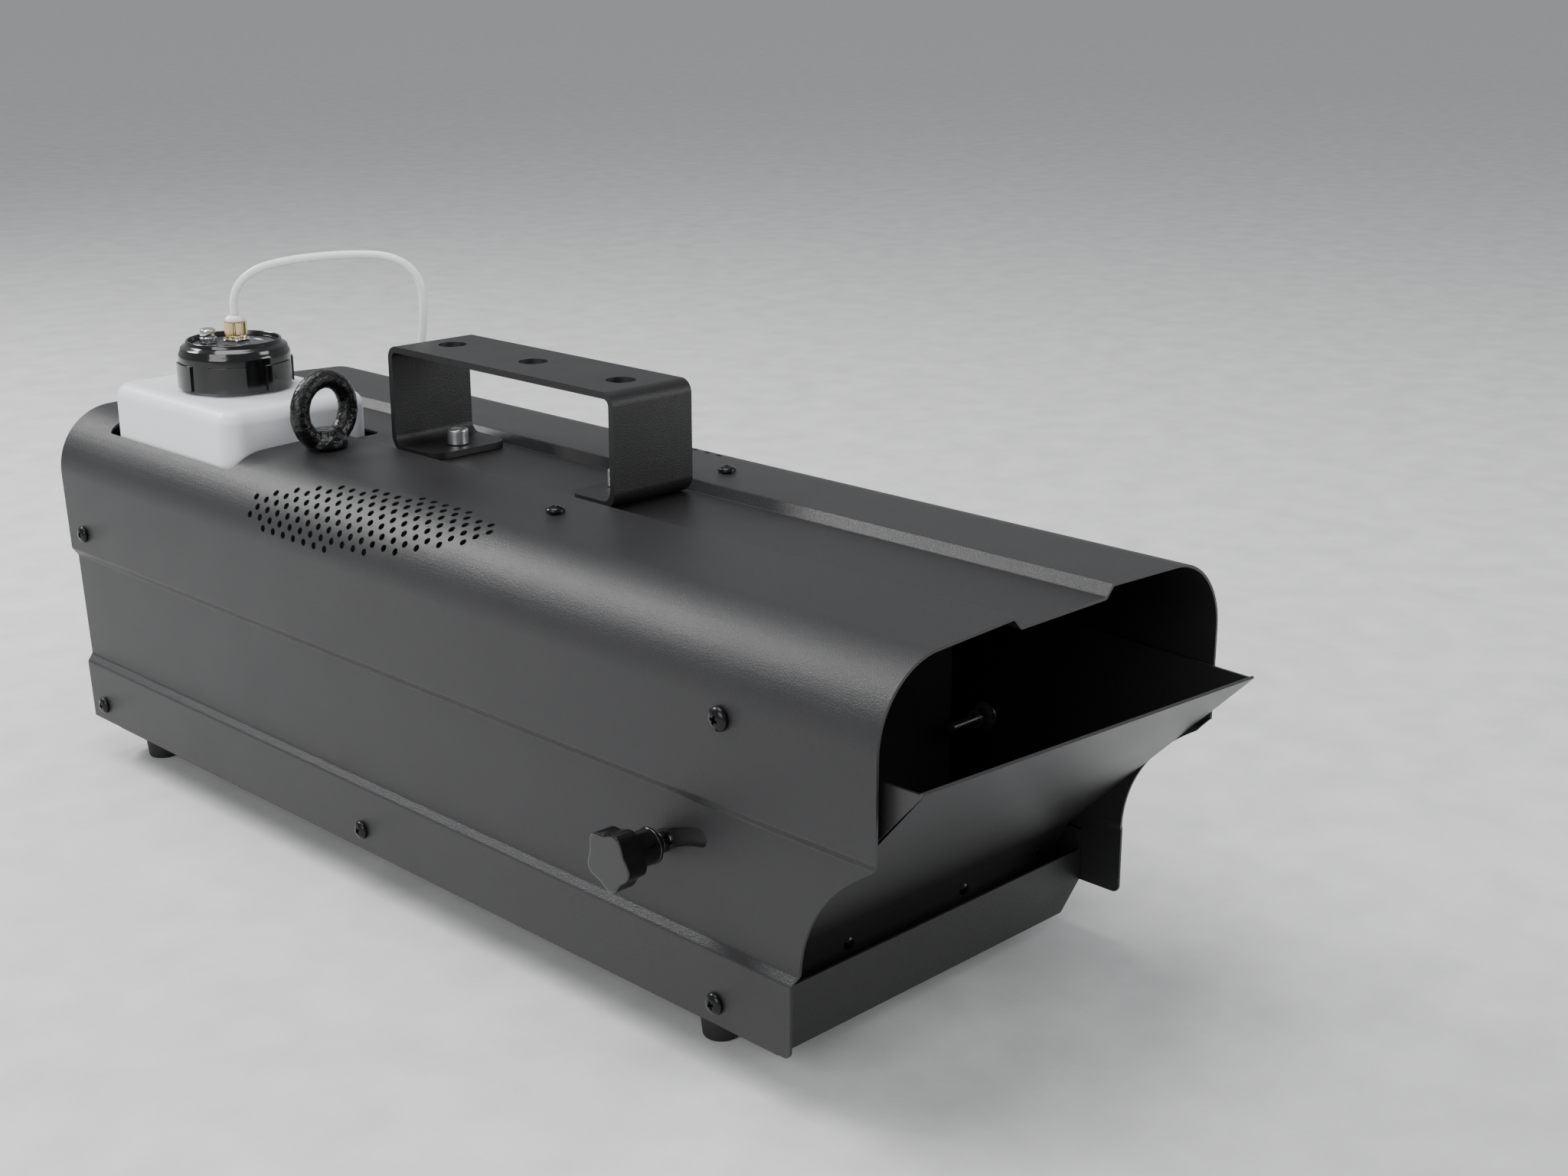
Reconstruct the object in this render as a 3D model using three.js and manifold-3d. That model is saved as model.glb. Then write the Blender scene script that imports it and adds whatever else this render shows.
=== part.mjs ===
// Fog machine: a sheet-metal case with an adjustable deflector flap,
// a lift-out fluid bottle and a hanging bracket.
// Millimetres. X is the width, +Z is up, and the fog leaves towards -Y.
// Until the last lines, y = 0 is the front edge of the hood and z = 0 is the lower edge of the cover.
import * as THREE from "three";
import { mergeVertices } from "three/addons/utils/BufferGeometryUtils.js";
import Module from "manifold-3d";

const wasm = await Module();
wasm.setup();

// ---------------------------------------------------------------- driving dimensions
const SHEET = 1.2; // sheet metal of the case
const GAP = 0.3; // clearance between neighbouring pieces
const FACETS = 16; // sides of a small round piece

const COVER = {
  half: 100.5, // outer half width of the lower strip and the upper panel
  midHalf: 97.5, // outer half width of the recessed middle panel
  stripTop: 29.5, // height of the lower strip
  midBottom: 33.1, // where the middle panel starts
  midTop: 85.7, // where the middle panel ends
  panelBottom: 89.8, // lower edge of the upper panel, and of the hood
  shoulderR: 32, // rounded shoulder between side and top
  shoulderZ: 128.7, // height of the shoulder's centre
  crownZ: 162.2, // inner edge of the top strips
  channelX: 28.8, // half width of the channel at the top
  floorX: 24.7, // half width of the channel's floor
  floorZ: 157.8, // height of the channel's floor
  stripFront: 40.6, // front edge of the lower strip, set back from the hood
  rearY: 554.5, // rear edge at z = 0
  rearLean: 0.085, // how far the rear edge leans back per millimetre of height
};
const TRAY = {
  half: 98.9,
  bottom: -11.5,
  chamferX: 86.5,
  chamferZ: 0.5,
  top: 24,
  front: 60.8,
  plateTop: 14.6,
};
const FOOT = { x: 76.5, ys: [102, 530], height: 10.5, topR: 8.5, bottomR: 7.5 };
const PIVOT = { y: 79.8, z: 8.6 }; // axis that the flap tilts about
// Clamp stud, on an arc about the pivot.
const STUD = { radius: 63.8, angle: 61, r: 2.3, inner: 70, outer: 114 };
const KNOB = { lobes: 5, tipR: 12.3, valleyR: 10.2, turn: 9 };
const SLOT = { from: 57, to: 80.5, half: 3.7 }; // arc slot in the cover's side, degrees about the pivot
const FLAP = { half: 94, lipY: -18.1, lipZ: 117, bendY: 66, bendZ: 26.5, footY: 72.6, footZ: 1 };
const FLAP_TWIST = { middle: 0.4, half: 1.4 }; // degrees about the pivot, at the middle and at a wing
const BRACKET = { half: 22.5, thick: 3, front: 221.7, rear: 382.7, top: 208.7, foot: 32.5, r: 6, footR: 8 };
const BRACKET_HOLES = [-60, 0, 60]; // from the middle of the bar
const BRACKET_SCREWS = [245, 361.3];
const EYE = { x: -49.8, y: 397.3, z: 162.35, ringR: 14.7, wireR: 4.4, ringZ: 17.35, baseR: 10, turn: 8 };
const WELL = { x0: -88.8, x1: -4, y0: 419, y1: 534, r: 4 }; // cut-out that the bottle stands in
const BOTTLE = {
  x0: -87.8,
  x1: -7.8,
  y0: 420.8,
  y1: 530.8,
  z0: -3.2,
  z1: 179.5,
  wall: 2,
  corner: 9,
  edge: 6,
  neckR: 22,
  neckTop: 197,
};
const CAP = { x: -48.5, y: 475.5, bottom: 181, ribs: 6, ribArc: 38, ribTop: 193.5, ribTurn: -0.167 };
const HOSE = { x: -48.6, y: 472.4, top: 215.6 }; // fitting that the suction tube leaves from
const VENT = { x: -56.6, y: 485.3 };
const TUBE_R = 2;
const GROMMET = { x: 3.4, y: 404.3 };
const NOZZLE = { x: 0, z: 94.5, tip: 92 };
const SHIELD_Y = 128;
const HEATER = { y0: 165, y1: 340, z: 90, r: 33 };
const FAN = { y: 362, depth: 18, half: 30, z: 85, boreR: 28.2, hubR: 11 };
const PUMP = { x: 46, y0: 432, y1: 512, z: 26, half: 17, boreR: 6.5 };
const SIDE_SCREWS = { rear_upper: [546.9, 100.1], rear_lower: [542.3, 8.6], middle: [309.5, 9.1] };
const HOOD_SCREW = { y: 75.8, z: 123.5 };
const TOP_SCREW = { x: 49.6, y: 228.3 };
const SIDES = { left: -1, right: 1 };

// ---------------------------------------------------------------- materials
function paint(color, roughness, metalness) {
  return () => new THREE.MeshStandardMaterial({ color, roughness, metalness });
}
const blackPaint = paint(0x1b1b1d, 0.6, 0.3);
const innerPaint = paint(0x151516, 0.7, 0.3);
const blackSteel = paint(0x101011, 0.35, 0.8);
const brightSteel = paint(0xc9cacc, 0.25, 1.0);
const castAluminium = paint(0x9a9b9d, 0.5, 0.9);
const brass = paint(0xb59a5b, 0.3, 1.0);
const rubber = paint(0x0e0e0e, 0.85, 0.0);
const glossPlastic = paint(0x0b0b0c, 0.2, 0.0);
const mattePlastic = paint(0x1a1a1a, 0.55, 0.0);
const milkyPlastic = paint(0xe9edf0, 0.45, 0.0);
const boardGreen = paint(0x1d5a34, 0.5, 0.1);
const redPlastic = paint(0xa01512, 0.35, 0.0);

// ---------------------------------------------------------------- solids
function toSolid(geometry) {
  const bare = geometry.clone();
  bare.deleteAttribute("normal");
  bare.deleteAttribute("uv");
  const merged = mergeVertices(bare, 1e-4);
  return new wasm.Manifold(
    new wasm.Mesh({
      numProp: 3,
      vertProperties: new Float32Array(merged.attributes.position.array),
      triVerts: new Uint32Array(merged.index.array),
    }),
  );
}

function toGeometry(solid) {
  const mesh = solid.getMesh();
  const geometry = new THREE.BufferGeometry();
  geometry.setAttribute("position", new THREE.BufferAttribute(mesh.vertProperties, 3));
  geometry.setIndex(new THREE.BufferAttribute(mesh.triVerts, 1));
  geometry.computeVertexNormals();
  return geometry;
}

function cut(body, ...tools) {
  return tools.reduce((left, tool) => left.subtract(tool), body);
}

function join(first, ...rest) {
  return rest.reduce((sum, piece) => sum.add(piece), first);
}

const PARTS = new THREE.Group();

function add(name, shape, material, parent = PARTS) {
  const geometry = shape.isBufferGeometry ? shape : toGeometry(shape);
  const mesh = new THREE.Mesh(geometry, material());
  mesh.name = name;
  parent.add(mesh);
  return mesh;
}

// ---------------------------------------------------------------- outlines and prisms
function shapeOf(points) {
  return new THREE.Shape(points.map(([a, b]) => new THREE.Vector2(a, b)));
}

function arcPoints(cx, cy, r, fromDeg, toDeg, steps) {
  return Array.from({ length: steps + 1 }, (_, i) => {
    const angle = THREE.MathUtils.degToRad(fromDeg + ((toDeg - fromDeg) * i) / steps);
    return [cx + r * Math.cos(angle), cy + r * Math.sin(angle)];
  });
}

function roundedRect(x0, y0, x1, y1, r, steps = 4) {
  return [
    ...arcPoints(x1 - r, y0 + r, r, -90, 0, steps),
    ...arcPoints(x1 - r, y1 - r, r, 0, 90, steps),
    ...arcPoints(x0 + r, y1 - r, r, 90, 180, steps),
    ...arcPoints(x0 + r, y0 + r, r, 180, 270, steps),
  ];
}

// The other face of a sheet whose one face follows the open line, offset to the right of its direction.
function offsetLine(points, distance) {
  const direction = points.slice(1).map(([x, y], i) => {
    const length = Math.hypot(x - points[i][0], y - points[i][1]);
    return [(x - points[i][0]) / length, (y - points[i][1]) / length];
  });
  return points.map(([x, y], i) => {
    const before = direction[Math.max(i - 1, 0)];
    const after = direction[Math.min(i, direction.length - 1)];
    const scale = distance / (1 + before[0] * after[0] + before[1] * after[1]);
    return [x + (before[1] + after[1]) * scale, y - (before[0] + after[0]) * scale];
  });
}

function sheetOutline(points, thickness) {
  return [...points, ...offsetLine(points, thickness).reverse()];
}

function prism(shape, depth) {
  return new THREE.ExtrudeGeometry(shape, { depth, bevelEnabled: false, curveSegments: 8 });
}

function asShape(outline) {
  return Array.isArray(outline) ? shapeOf(outline) : outline;
}

// An outline in x and y, raised from z0 to z1.
function prismZ(outline, z0, z1) {
  return prism(asShape(outline), z1 - z0).translate(0, 0, z0);
}

// Turns an extrusion so that its outline lies in y and z, and its depth runs along X.
const ACROSS = new THREE.Matrix4().makeBasis(
  new THREE.Vector3(0, 1, 0),
  new THREE.Vector3(0, 0, 1),
  new THREE.Vector3(1, 0, 0),
);

// An outline in y and z, run from x0 to x1.
function prismX(outline, x0, x1) {
  return prism(asShape(outline), x1 - x0).applyMatrix4(ACROSS).translate(x0, 0, 0);
}

// An outline in x and z, run from y0 to y1.
function prismY(outline, y0, y1) {
  return prism(asShape(outline), y1 - y0).rotateX(Math.PI / 2).translate(0, y1, 0);
}

function box(x0, y0, z0, x1, y1, z1) {
  const block = new THREE.BoxGeometry(x1 - x0, y1 - y0, z1 - z0);
  return block.translate((x0 + x1) / 2, (y0 + y1) / 2, (z0 + z1) / 2);
}

// A profile of [radius, height] points turned about the Z axis.
function turned(profile, facets = FACETS) {
  const points = profile.map(([r, h]) => new THREE.Vector2(r, h));
  return new THREE.LatheGeometry(points, facets).rotateX(Math.PI / 2);
}

function rod(r, z0, z1, facets = FACETS) {
  return turned([[0, z0], [r, z0], [r, z1], [0, z1]], facets);
}

// Turns a piece made along +Z so that it points along +X or -X.
function alongX(geometry, side) {
  return geometry.rotateY((side * Math.PI) / 2);
}

// Turns a piece made along +Z so that it points along -Y or +Y.
function alongY(geometry, side) {
  return geometry.rotateX((-side * Math.PI) / 2);
}

function rodX(r, x0, x1, y, z, facets = FACETS) {
  return alongX(rod(r, x0, x1, facets), 1).translate(0, y, z);
}

// ---------------------------------------------------------------- cover
function shoulder(side, steps) {
  const { half, shoulderR, shoulderZ } = COVER;
  const arc = arcPoints(-half + shoulderR, shoulderZ, shoulderR, 180, 90, steps);
  return arc.map(([x, z]) => [-side * x, z]);
}

function coverLine() {
  const { half, midHalf, stripTop, midBottom, midTop, panelBottom, crownZ, channelX, floorX, floorZ } = COVER;
  const left = [
    [-half, 0],
    [-half, stripTop],
    [-midHalf, midBottom],
    [-midHalf, midTop],
    [-half, panelBottom],
    ...shoulder(-1, 12),
    [-channelX, crownZ],
    [-floorX, floorZ],
  ];
  const right = left.map(([x, z]) => [-x, z]).reverse();
  return [...left, ...right];
}

function rearEdge(z) {
  return COVER.rearY + COVER.rearLean * z;
}

// What is cut away in front of the lower strip and the curved edge that runs up to the hood.
function frontCut() {
  const { stripFront, stripTop, midBottom, midTop, panelBottom } = COVER;
  const sweep = new THREE.CubicBezierCurve(
    new THREE.Vector2(stripFront - 1.7, midBottom),
    new THREE.Vector2(stripFront - 3.1, midBottom + 24),
    new THREE.Vector2(23.5, midTop - 12.7),
    new THREE.Vector2(4.5, midTop - 1.2),
  );
  return [
    [-5, -5],
    [stripFront + 3, -5],
    ...arcPoints(stripFront + 3, 3, 3, 270, 180, 3),
    [stripFront, stripTop],
    ...sweep.getPoints(9).map((point) => [point.x, point.y]),
    [0.3, panelBottom],
    [-5, panelBottom],
  ];
}

function rearCut() {
  const far = COVER.rearY + 60;
  return [[rearEdge(-5), -5], [far, -5], [far, 180], [rearEdge(180), 180]];
}

function slotOutline() {
  const point = (degrees, r) => {
    const angle = THREE.MathUtils.degToRad(degrees);
    return [PIVOT.y + r * Math.cos(angle), PIVOT.z + r * Math.sin(angle)];
  };
  const [fromY, fromZ] = point(SLOT.from, STUD.radius);
  const [toY, toZ] = point(SLOT.to, STUD.radius);
  return [
    ...arcPoints(PIVOT.y, PIVOT.z, STUD.radius + SLOT.half, SLOT.from, SLOT.to, 5),
    ...arcPoints(toY, toZ, SLOT.half, SLOT.to, SLOT.to + 180, 4).slice(1),
    ...arcPoints(PIVOT.y, PIVOT.z, STUD.radius - SLOT.half, SLOT.to, SLOT.from, 5).slice(1),
    ...arcPoints(fromY, fromZ, SLOT.half, SLOT.from - 180, SLOT.from, 4).slice(1, -1),
  ];
}

function coverHoles() {
  const holes = Object.values(SIDES).flatMap((side) => [
    ...Object.values(SIDE_SCREWS).map(([y, z]) => rodX(2.4, side * 90 - 12, side * 90 + 12, y, z, 8)),
    rodX(2.4, side * 90 - 12, side * 90 + 12, PIVOT.y, PIVOT.z, 8),
    rodX(2.9, side * 90 - 12, side * 90 + 12, HOOD_SCREW.y, HOOD_SCREW.z, 8),
    rod(2.4, 155, 166, 8).translate(side * TOP_SCREW.x, TOP_SCREW.y, 0),
    prismX(slotOutline(), side * 97 - 4, side * 97 + 4),
  ]);
  holes.push(...BRACKET_SCREWS.map((y) => rod(3.5, 150, 166, 10).translate(0, y, 0)));
  holes.push(rod(4.5, 150, 168, 10).translate(EYE.x, EYE.y, 0));
  holes.push(rod(5.2, 150, 168, 10).translate(GROMMET.x, GROMMET.y, 0));
  return holes;
}

function coverShell() {
  const sheet = toSolid(prismY(sheetOutline(coverLine(), SHEET), 0, COVER.rearY + 30));
  const well = prismZ(roundedRect(WELL.x0, WELL.y0, WELL.x1, WELL.y1, WELL.r, 3), 130, 170);
  const tools = [
    prismX(frontCut(), -110, 110),
    prismX(rearCut(), -110, 110),
    well,
    ...coverHoles(),
  ];
  return cut(sheet, ...tools.map(toSolid));
}

// ---------------------------------------------------------------- base tray, feet and rear panel
function trayLine() {
  const { half, top, chamferX, chamferZ, bottom } = TRAY;
  const left = [[-half, top], [-half, chamferZ], [-chamferX, bottom]];
  return [...left, ...left.map(([x, z]) => [-x, z]).reverse()];
}

function frontPlate() {
  const { half, chamferX, chamferZ, bottom, plateTop, front } = TRAY;
  const outline = [
    [-half, plateTop],
    [-half, chamferZ],
    [-chamferX, bottom],
    [chamferX, bottom],
    [half, chamferZ],
    [half, plateTop],
  ];
  return toSolid(prismY(outline, front, front + SHEET));
}

function baseTray() {
  const rear = rearEdge(TRAY.bottom) - 1;
  const outline = sheetOutline([...trayLine()].reverse(), SHEET);
  const channel = toSolid(prismY(outline, TRAY.front, rear));
  const sides = Object.values(SIDES).flatMap((side) => [
    rodX(2.4, side * 95 - 8, side * 95 + 8, PIVOT.y, PIVOT.z, 8),
    rodX(2.4, side * 95 - 8, side * 95 + 8, ...SIDE_SCREWS.rear_lower, 8),
    rodX(2.4, side * 95 - 8, side * 95 + 8, ...SIDE_SCREWS.middle, 8),
  ]);
  return cut(join(channel, frontPlate()), ...sides.map(toSolid));
}

function foot() {
  const { height, topR, bottomR } = FOOT;
  const recess = 3.2;
  return turned([
    [0, recess],
    [recess, recess],
    [recess, 0],
    [bottomR - 1, 0],
    [bottomR, 1],
    [topR, height - GAP],
    [0, height - GAP],
  ]);
}

function addFeet() {
  for (const [sideName, side] of Object.entries(SIDES)) {
    FOOT.ys.forEach((y, i) => {
      const end = ["front", "rear"][i];
      const mesh = add(`foot_${end}_${sideName}`, foot(), rubber);
      mesh.position.set(side * FOOT.x, y, TRAY.bottom - FOOT.height);
    });
  }
}

// The rear panel and what is fixed in it share one leaning frame: x across, y outwards, z up the panel.
const LEAN = Math.atan(COVER.rearLean);
const REAR = new THREE.Group();
REAR.rotation.x = -LEAN;
REAR.position.y = COVER.rearY - 7;
PARTS.add(REAR);

const INLET = { x: 31, z: 18, w: 27, h: 20, fuse: 9 };
const ROCKER = { x: 72, z: 22, w: 19, h: 13, y: -1 };
const DMX = { xs: [31, 71], z: 66, r: 11.8 };
const DISPLAY = { x: 51, z: 126, w: 44, h: 20 };
const BUTTONS = { xs: [33, 45, 57, 69], z: 103, r: 3.2, travel: 1.2 };

function rearPanel() {
  const half = 95.8;
  const corner = 30;
  const top = 156;
  const outline = [
    [-84, TRAY.bottom + SHEET + 0.6],
    [84, TRAY.bottom + SHEET + 0.6],
    [half, 2.2],
    ...arcPoints(half - corner, top - corner, corner, 0, 90, 6),
    ...arcPoints(corner - half, top - corner, corner, 90, 180, 6),
    [-half, 2.2],
  ];
  const holes = [
    prismY(roundedRect(...frameOf(INLET, GAP), 2, 2), -5, 5),
    prismY(roundedRect(...frameOf(ROCKER, GAP), 1, 1), -5, 5),
    prismY(roundedRect(...frameOf(DISPLAY, GAP), 1, 1), -5, 5),
    ...DMX.xs.map((x) => hole(x, DMX.z, DMX.r + GAP)),
    ...BUTTONS.xs.map((x) => hole(x, BUTTONS.z, BUTTONS.r + GAP)),
  ];
  return cut(toSolid(prismY(outline, -SHEET, 0)), ...holes.map(toSolid));
}

function frameOf({ x, z, w, h }, grow = 0) {
  return [x - w / 2 - grow, z - h / 2 - grow, x + w / 2 + grow, z + h / 2 + grow];
}

function hole(x, z, r) {
  return alongY(rod(r, -6, 6, FACETS), 1).translate(x, 0, z);
}

// A recessed inlet with three blades, and a fuse drawer in the same moulding above it.
function mainsInlet() {
  const { x, z, w, h, fuse } = INLET;
  const [x0, z0, x1, z1] = frameOf(INLET, 2.5);
  const flange = prismY(roundedRect(x0, z0, x1, z1 + fuse, 2, 2), GAP, 2);
  const body = prismY(roundedRect(...frameOf(INLET), 2, 2), -17, 1);
  const cavity = prismY(roundedRect(...frameOf(INLET, -2.6), 2, 2), -14.5, 4);
  const drawer = box(x - w / 2 + 3, 1, z + h / 2 + 2.6, x + w / 2 - 3, 3.2, z + h / 2 + fuse);
  const blades = [-7, 0, 7].map((dx) => box(x + dx - 1, -15, z - 3.2, x + dx + 1, -6, z + 3.2));
  const housing = cut(join(toSolid(flange), toSolid(body)), toSolid(cavity));
  return join(housing, ...[drawer, ...blades].map(toSolid));
}

function rockerFrame() {
  const flange = prismY(roundedRect(...frameOf(ROCKER, 1.6), 1, 1), GAP, 2);
  const body = prismY(roundedRect(...frameOf(ROCKER), 1, 1), -15, 1);
  const cavity = prismY(roundedRect(...frameOf(ROCKER, -1.5), 0.6, 1), -11, 4);
  return cut(join(toSolid(flange), toSolid(body)), toSolid(cavity));
}

// A shallow V seen from the side: one half stands proud, the other is pushed in.
function rocker() {
  const w = ROCKER.w / 2 - 1.9;
  const h = ROCKER.h / 2 - 2.2;
  const outline = [[-4, 0.7 - h], [0.2, -h], [1.5, 0], [3.2, h - 0.9], [-4, h - 1.5]];
  return prismX(outline, -w, w).translate(ROCKER.x, 0, ROCKER.z);
}

// A round signal socket in a square flange; the input has pins and the output is plugged.
function dmxSocket(x, isInput) {
  const flange = prismY(roundedRect(x - 13, DMX.z - 14.5, x + 13, DMX.z + 14.5, 2, 2), GAP, 2.4);
  const body = alongY(rod(DMX.r, -18, 1), 1).translate(x, 0, DMX.z);
  const cavity = alongY(rod(9.2, isInput ? -12 : -1, 6), 1).translate(x, 0, DMX.z);
  const socket = cut(join(toSolid(flange), toSolid(body)), toSolid(cavity));
  if (!isInput) {
    const sockets = [90, 210, 330].map((degrees) => contactRod(x, degrees, 1.3, -10, 4));
    return cut(socket, ...sockets.map(toSolid));
  }
  const pins = [90, 210, 330].map((degrees) => contactRod(x, degrees, 1.2, -13, -5));
  return join(socket, ...pins.map(toSolid));
}

function contactRod(x, degrees, r, y0, y1) {
  const angle = THREE.MathUtils.degToRad(degrees);
  return alongY(rod(r, y0, y1, 6), 1).translate(x + 4.6 * Math.cos(angle), 0, DMX.z + 4.6 * Math.sin(angle));
}

function displayModule() {
  const window = prismY(roundedRect(...frameOf(DISPLAY), 1, 1), -6, 0.6);
  const board = box(DISPLAY.x - 27, -9, BUTTONS.z - 7, DISPLAY.x + 27, -6, DISPLAY.z + 14);
  return join(toSolid(window), toSolid(board));
}

function menuButton() {
  const { r, travel } = BUTTONS;
  const base = travel - 6 + GAP;
  const rim = -SHEET - 1.5 * GAP;
  const outer = [[0, base], [r + 0.8, base], [r + 0.8, rim], [r - 0.3, rim]];
  const profile = [...outer, [r - 0.3, 1.6], [r - 1, 2.2], [0, 2.2]];
  return alongY(turned(profile, 12), 1);
}

function addRear() {
  add("rear_panel", rearPanel(), blackPaint, REAR);
  add("mains_inlet", mainsInlet(), mattePlastic, REAR);
  add("power_switch_frame", rockerFrame(), mattePlastic, REAR);
  add("power_rocker", rocker(), redPlastic, REAR);
  add("dmx_input", dmxSocket(DMX.xs[0], true), mattePlastic, REAR);
  add("dmx_output", dmxSocket(DMX.xs[1], false), mattePlastic, REAR);
  add("display_module", displayModule(), glossPlastic, REAR);
  BUTTONS.xs.forEach((x, i) => {
    const button = add(`menu_button_${i + 1}`, menuButton(), mattePlastic, REAR);
    button.position.set(x, 0, BUTTONS.z);
  });
}

// ---------------------------------------------------------------- fasteners
// A pan head on a shank, made along +Z with the underside of the head at zero.
function panScrew(headR, headH, shankR, length) {
  return turned([
    [0, -length],
    [shankR, -length],
    [shankR, 0],
    [headR, 0],
    [headR, headH * 0.3],
    [headR * 0.8, headH * 0.8],
    [headR * 0.4, headH],
    [0, headH],
  ]);
}

function addSideScrews() {
  for (const [sideName, side] of Object.entries(SIDES)) {
    for (const [place, [y, z]] of Object.entries(SIDE_SCREWS)) {
      const name = `side_screw_${place}_${sideName}`;
      const screw = add(name, alongX(panScrew(4.2, 2.6, 2, 6), side), blackSteel);
      screw.position.set(side * (COVER.half + GAP), y, z);
    }
    const hood = add(`hood_screw_${sideName}`, alongX(panScrew(4.8, 3.2, 2.5, 7), side), blackSteel);
    hood.position.set(side * (COVER.half + GAP), HOOD_SCREW.y, HOOD_SCREW.z);
    const pivot = add(`pivot_screw_${sideName}`, alongX(panScrew(4.4, 2.6, 2, 9), side), blackSteel);
    pivot.position.set(side * (COVER.half + GAP), PIVOT.y, PIVOT.z);
    const top = add(`top_screw_${sideName}`, panScrew(4.2, 2.4, 2, 6), blackSteel);
    top.position.set(side * TOP_SCREW.x, TOP_SCREW.y, 162.1);
  }
}

// A socket head screw.
function capScrew() {
  const body = turned([[0, -9], [3, -9], [3, 0], [5, 0], [5, 6.8], [4.6, 7.2], [0, 7.2]], 20);
  const socket = rod(2.9, 3.8, 9, 6);
  return cut(toSolid(body), toSolid(socket));
}

// ---------------------------------------------------------------- hanging bracket and eye bolt
function bracketLine() {
  const { front, rear, top, foot: length, r, footR } = BRACKET;
  const bottom = COVER.floorZ + GAP;
  return [
    [rear - length, bottom],
    ...arcPoints(rear - footR, bottom + footR, footR, -90, 0, 4),
    ...arcPoints(rear - r, top - r, r, 0, 90, 4),
    ...arcPoints(front + r, top - r, r, 90, 180, 4),
    ...arcPoints(front + footR, bottom + footR, footR, 180, 270, 4),
    [front + length, bottom],
  ];
}

// Rounds the free corners of a foot by keeping what is inside a rounded plan.
function footPlan(y0, y1) {
  return toSolid(prismZ(roundedRect(-BRACKET.half, y0, BRACKET.half, y1, 9, 3), 150, 172));
}

function hangingBracket() {
  const { half, thick, front, rear, foot: length } = BRACKET;
  const outline = [...bracketLine(), ...offsetLine(bracketLine(), -thick).reverse()];
  const bar = toSolid(prismX(outline, -half, half));
  const upper = bar.intersect(toSolid(box(-half - 1, front - 1, 172, half + 1, rear + 1, 215)));
  const frontFoot = bar.intersect(footPlan(front - 30, front + length));
  const rearFoot = bar.intersect(footPlan(rear - length, rear + 30));
  const middle = (front + rear) / 2;
  const holes = BRACKET_HOLES.map((dy) => rod(6.6, 200, 212, 20).translate(0, middle + dy, 0));
  const screws = BRACKET_SCREWS.map((y) => rod(3.4, 150, 165, 10).translate(0, y, 0));
  return cut(join(upper, frontFoot, rearFoot), ...[...holes, ...screws].map(toSolid));
}

function eyeBolt() {
  const { ringR, wireR, ringZ, baseR, turn } = EYE;
  const ring = new THREE.TorusGeometry(ringR, wireR, 8, 24).rotateX(Math.PI / 2).translate(0, 0, ringZ);
  const above = cut(toSolid(ring), toSolid(box(-30, -30, -20, 30, 30, 0)));
  const base = turned([[0, -10], [4, -10], [4, 0], [baseR, 0], [baseR, 4], [baseR - 3, 6.6], [0, 6.6]]);
  return join(toSolid(base), above).rotate([0, 0, turn]);
}

// ---------------------------------------------------------------- deflector flap and its clamps
// The front of the flap: straight down from the lip, then bent to stand upright behind the front plate.
function flapLine() {
  const { lipY, lipZ, bendY, bendZ, footY, footZ } = FLAP;
  const bend = new THREE.QuadraticBezierCurve(
    new THREE.Vector2(bendY, bendZ),
    new THREE.Vector2(footY, bendZ - ((footY - bendY) * (lipZ - bendZ)) / (bendY - lipY)),
    new THREE.Vector2(footY, 11),
  );
  return [[lipY, lipZ], ...bend.getPoints(4).map((point) => [point.x, point.y]), [footY, footZ]];
}

function wingOutline() {
  const { lipY, lipZ, bendY, bendZ } = FLAP;
  return [
    [lipY, lipZ],
    [bendY, bendZ],
    [FLAP.footY - 1.5, 16],
    ...arcPoints(PIVOT.y, PIVOT.z, 9, 175, 350, 6),
    [122.5, 58],
    [122.5, 72],
    [96, 104],
    [72, lipZ],
  ];
}

function studPlace() {
  const angle = THREE.MathUtils.degToRad(STUD.angle);
  return [PIVOT.y + STUD.radius * Math.cos(angle), PIVOT.z + STUD.radius * Math.sin(angle)];
}

// The flap is clamped a little lower on its right side, so its sheet is slightly twisted about the pivot.
function twisted(solid) {
  return solid.warp((point) => {
    const turn = FLAP_TWIST.middle + (FLAP_TWIST.half * point[0]) / FLAP.half;
    const angle = THREE.MathUtils.degToRad(turn);
    const y = point[1] - PIVOT.y;
    const z = point[2] - PIVOT.z;
    point[1] = PIVOT.y + y * Math.cos(angle) - z * Math.sin(angle);
    point[2] = PIVOT.z + y * Math.sin(angle) + z * Math.cos(angle);
  });
}

function deflectorFlap() {
  const outline = [...flapLine(), ...offsetLine(flapLine(), -SHEET).reverse()];
  const slices = 8;
  const width = 2 * FLAP.half + 1;
  const options = { depth: width, steps: slices, bevelEnabled: false };
  const sheet = new THREE.ExtrudeGeometry(shapeOf(outline), options);
  const wings = Object.values(SIDES).map((side) => {
    const middle = side * (FLAP.half + SHEET / 2);
    return twisted(toSolid(prismX(wingOutline(), middle - SHEET / 2, middle + SHEET / 2)));
  });
  const holes = Object.values(SIDES).flatMap((side) => [
    rodX(2.4, side * 94 - 4, side * 94 + 4, PIVOT.y, PIVOT.z, 10),
    rodX(STUD.r + 0.4, side * 94 - 4, side * 94 + 4, ...studPlace(), 10),
  ]);
  const front = twisted(toSolid(sheet.applyMatrix4(ACROSS).translate(-width / 2, 0, 0)));
  return cut(join(front, ...wings), ...holes.map(toSolid));
}

// Threaded rod, moulded into the knob and screwed through the nut on the wing.
function clampStud() {
  const { r, inner, outer } = STUD;
  return turned([[0, inner], [r - 0.5, inner], [r, inner + 0.8], [r, outer], [0, outer]], 12);
}

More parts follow.
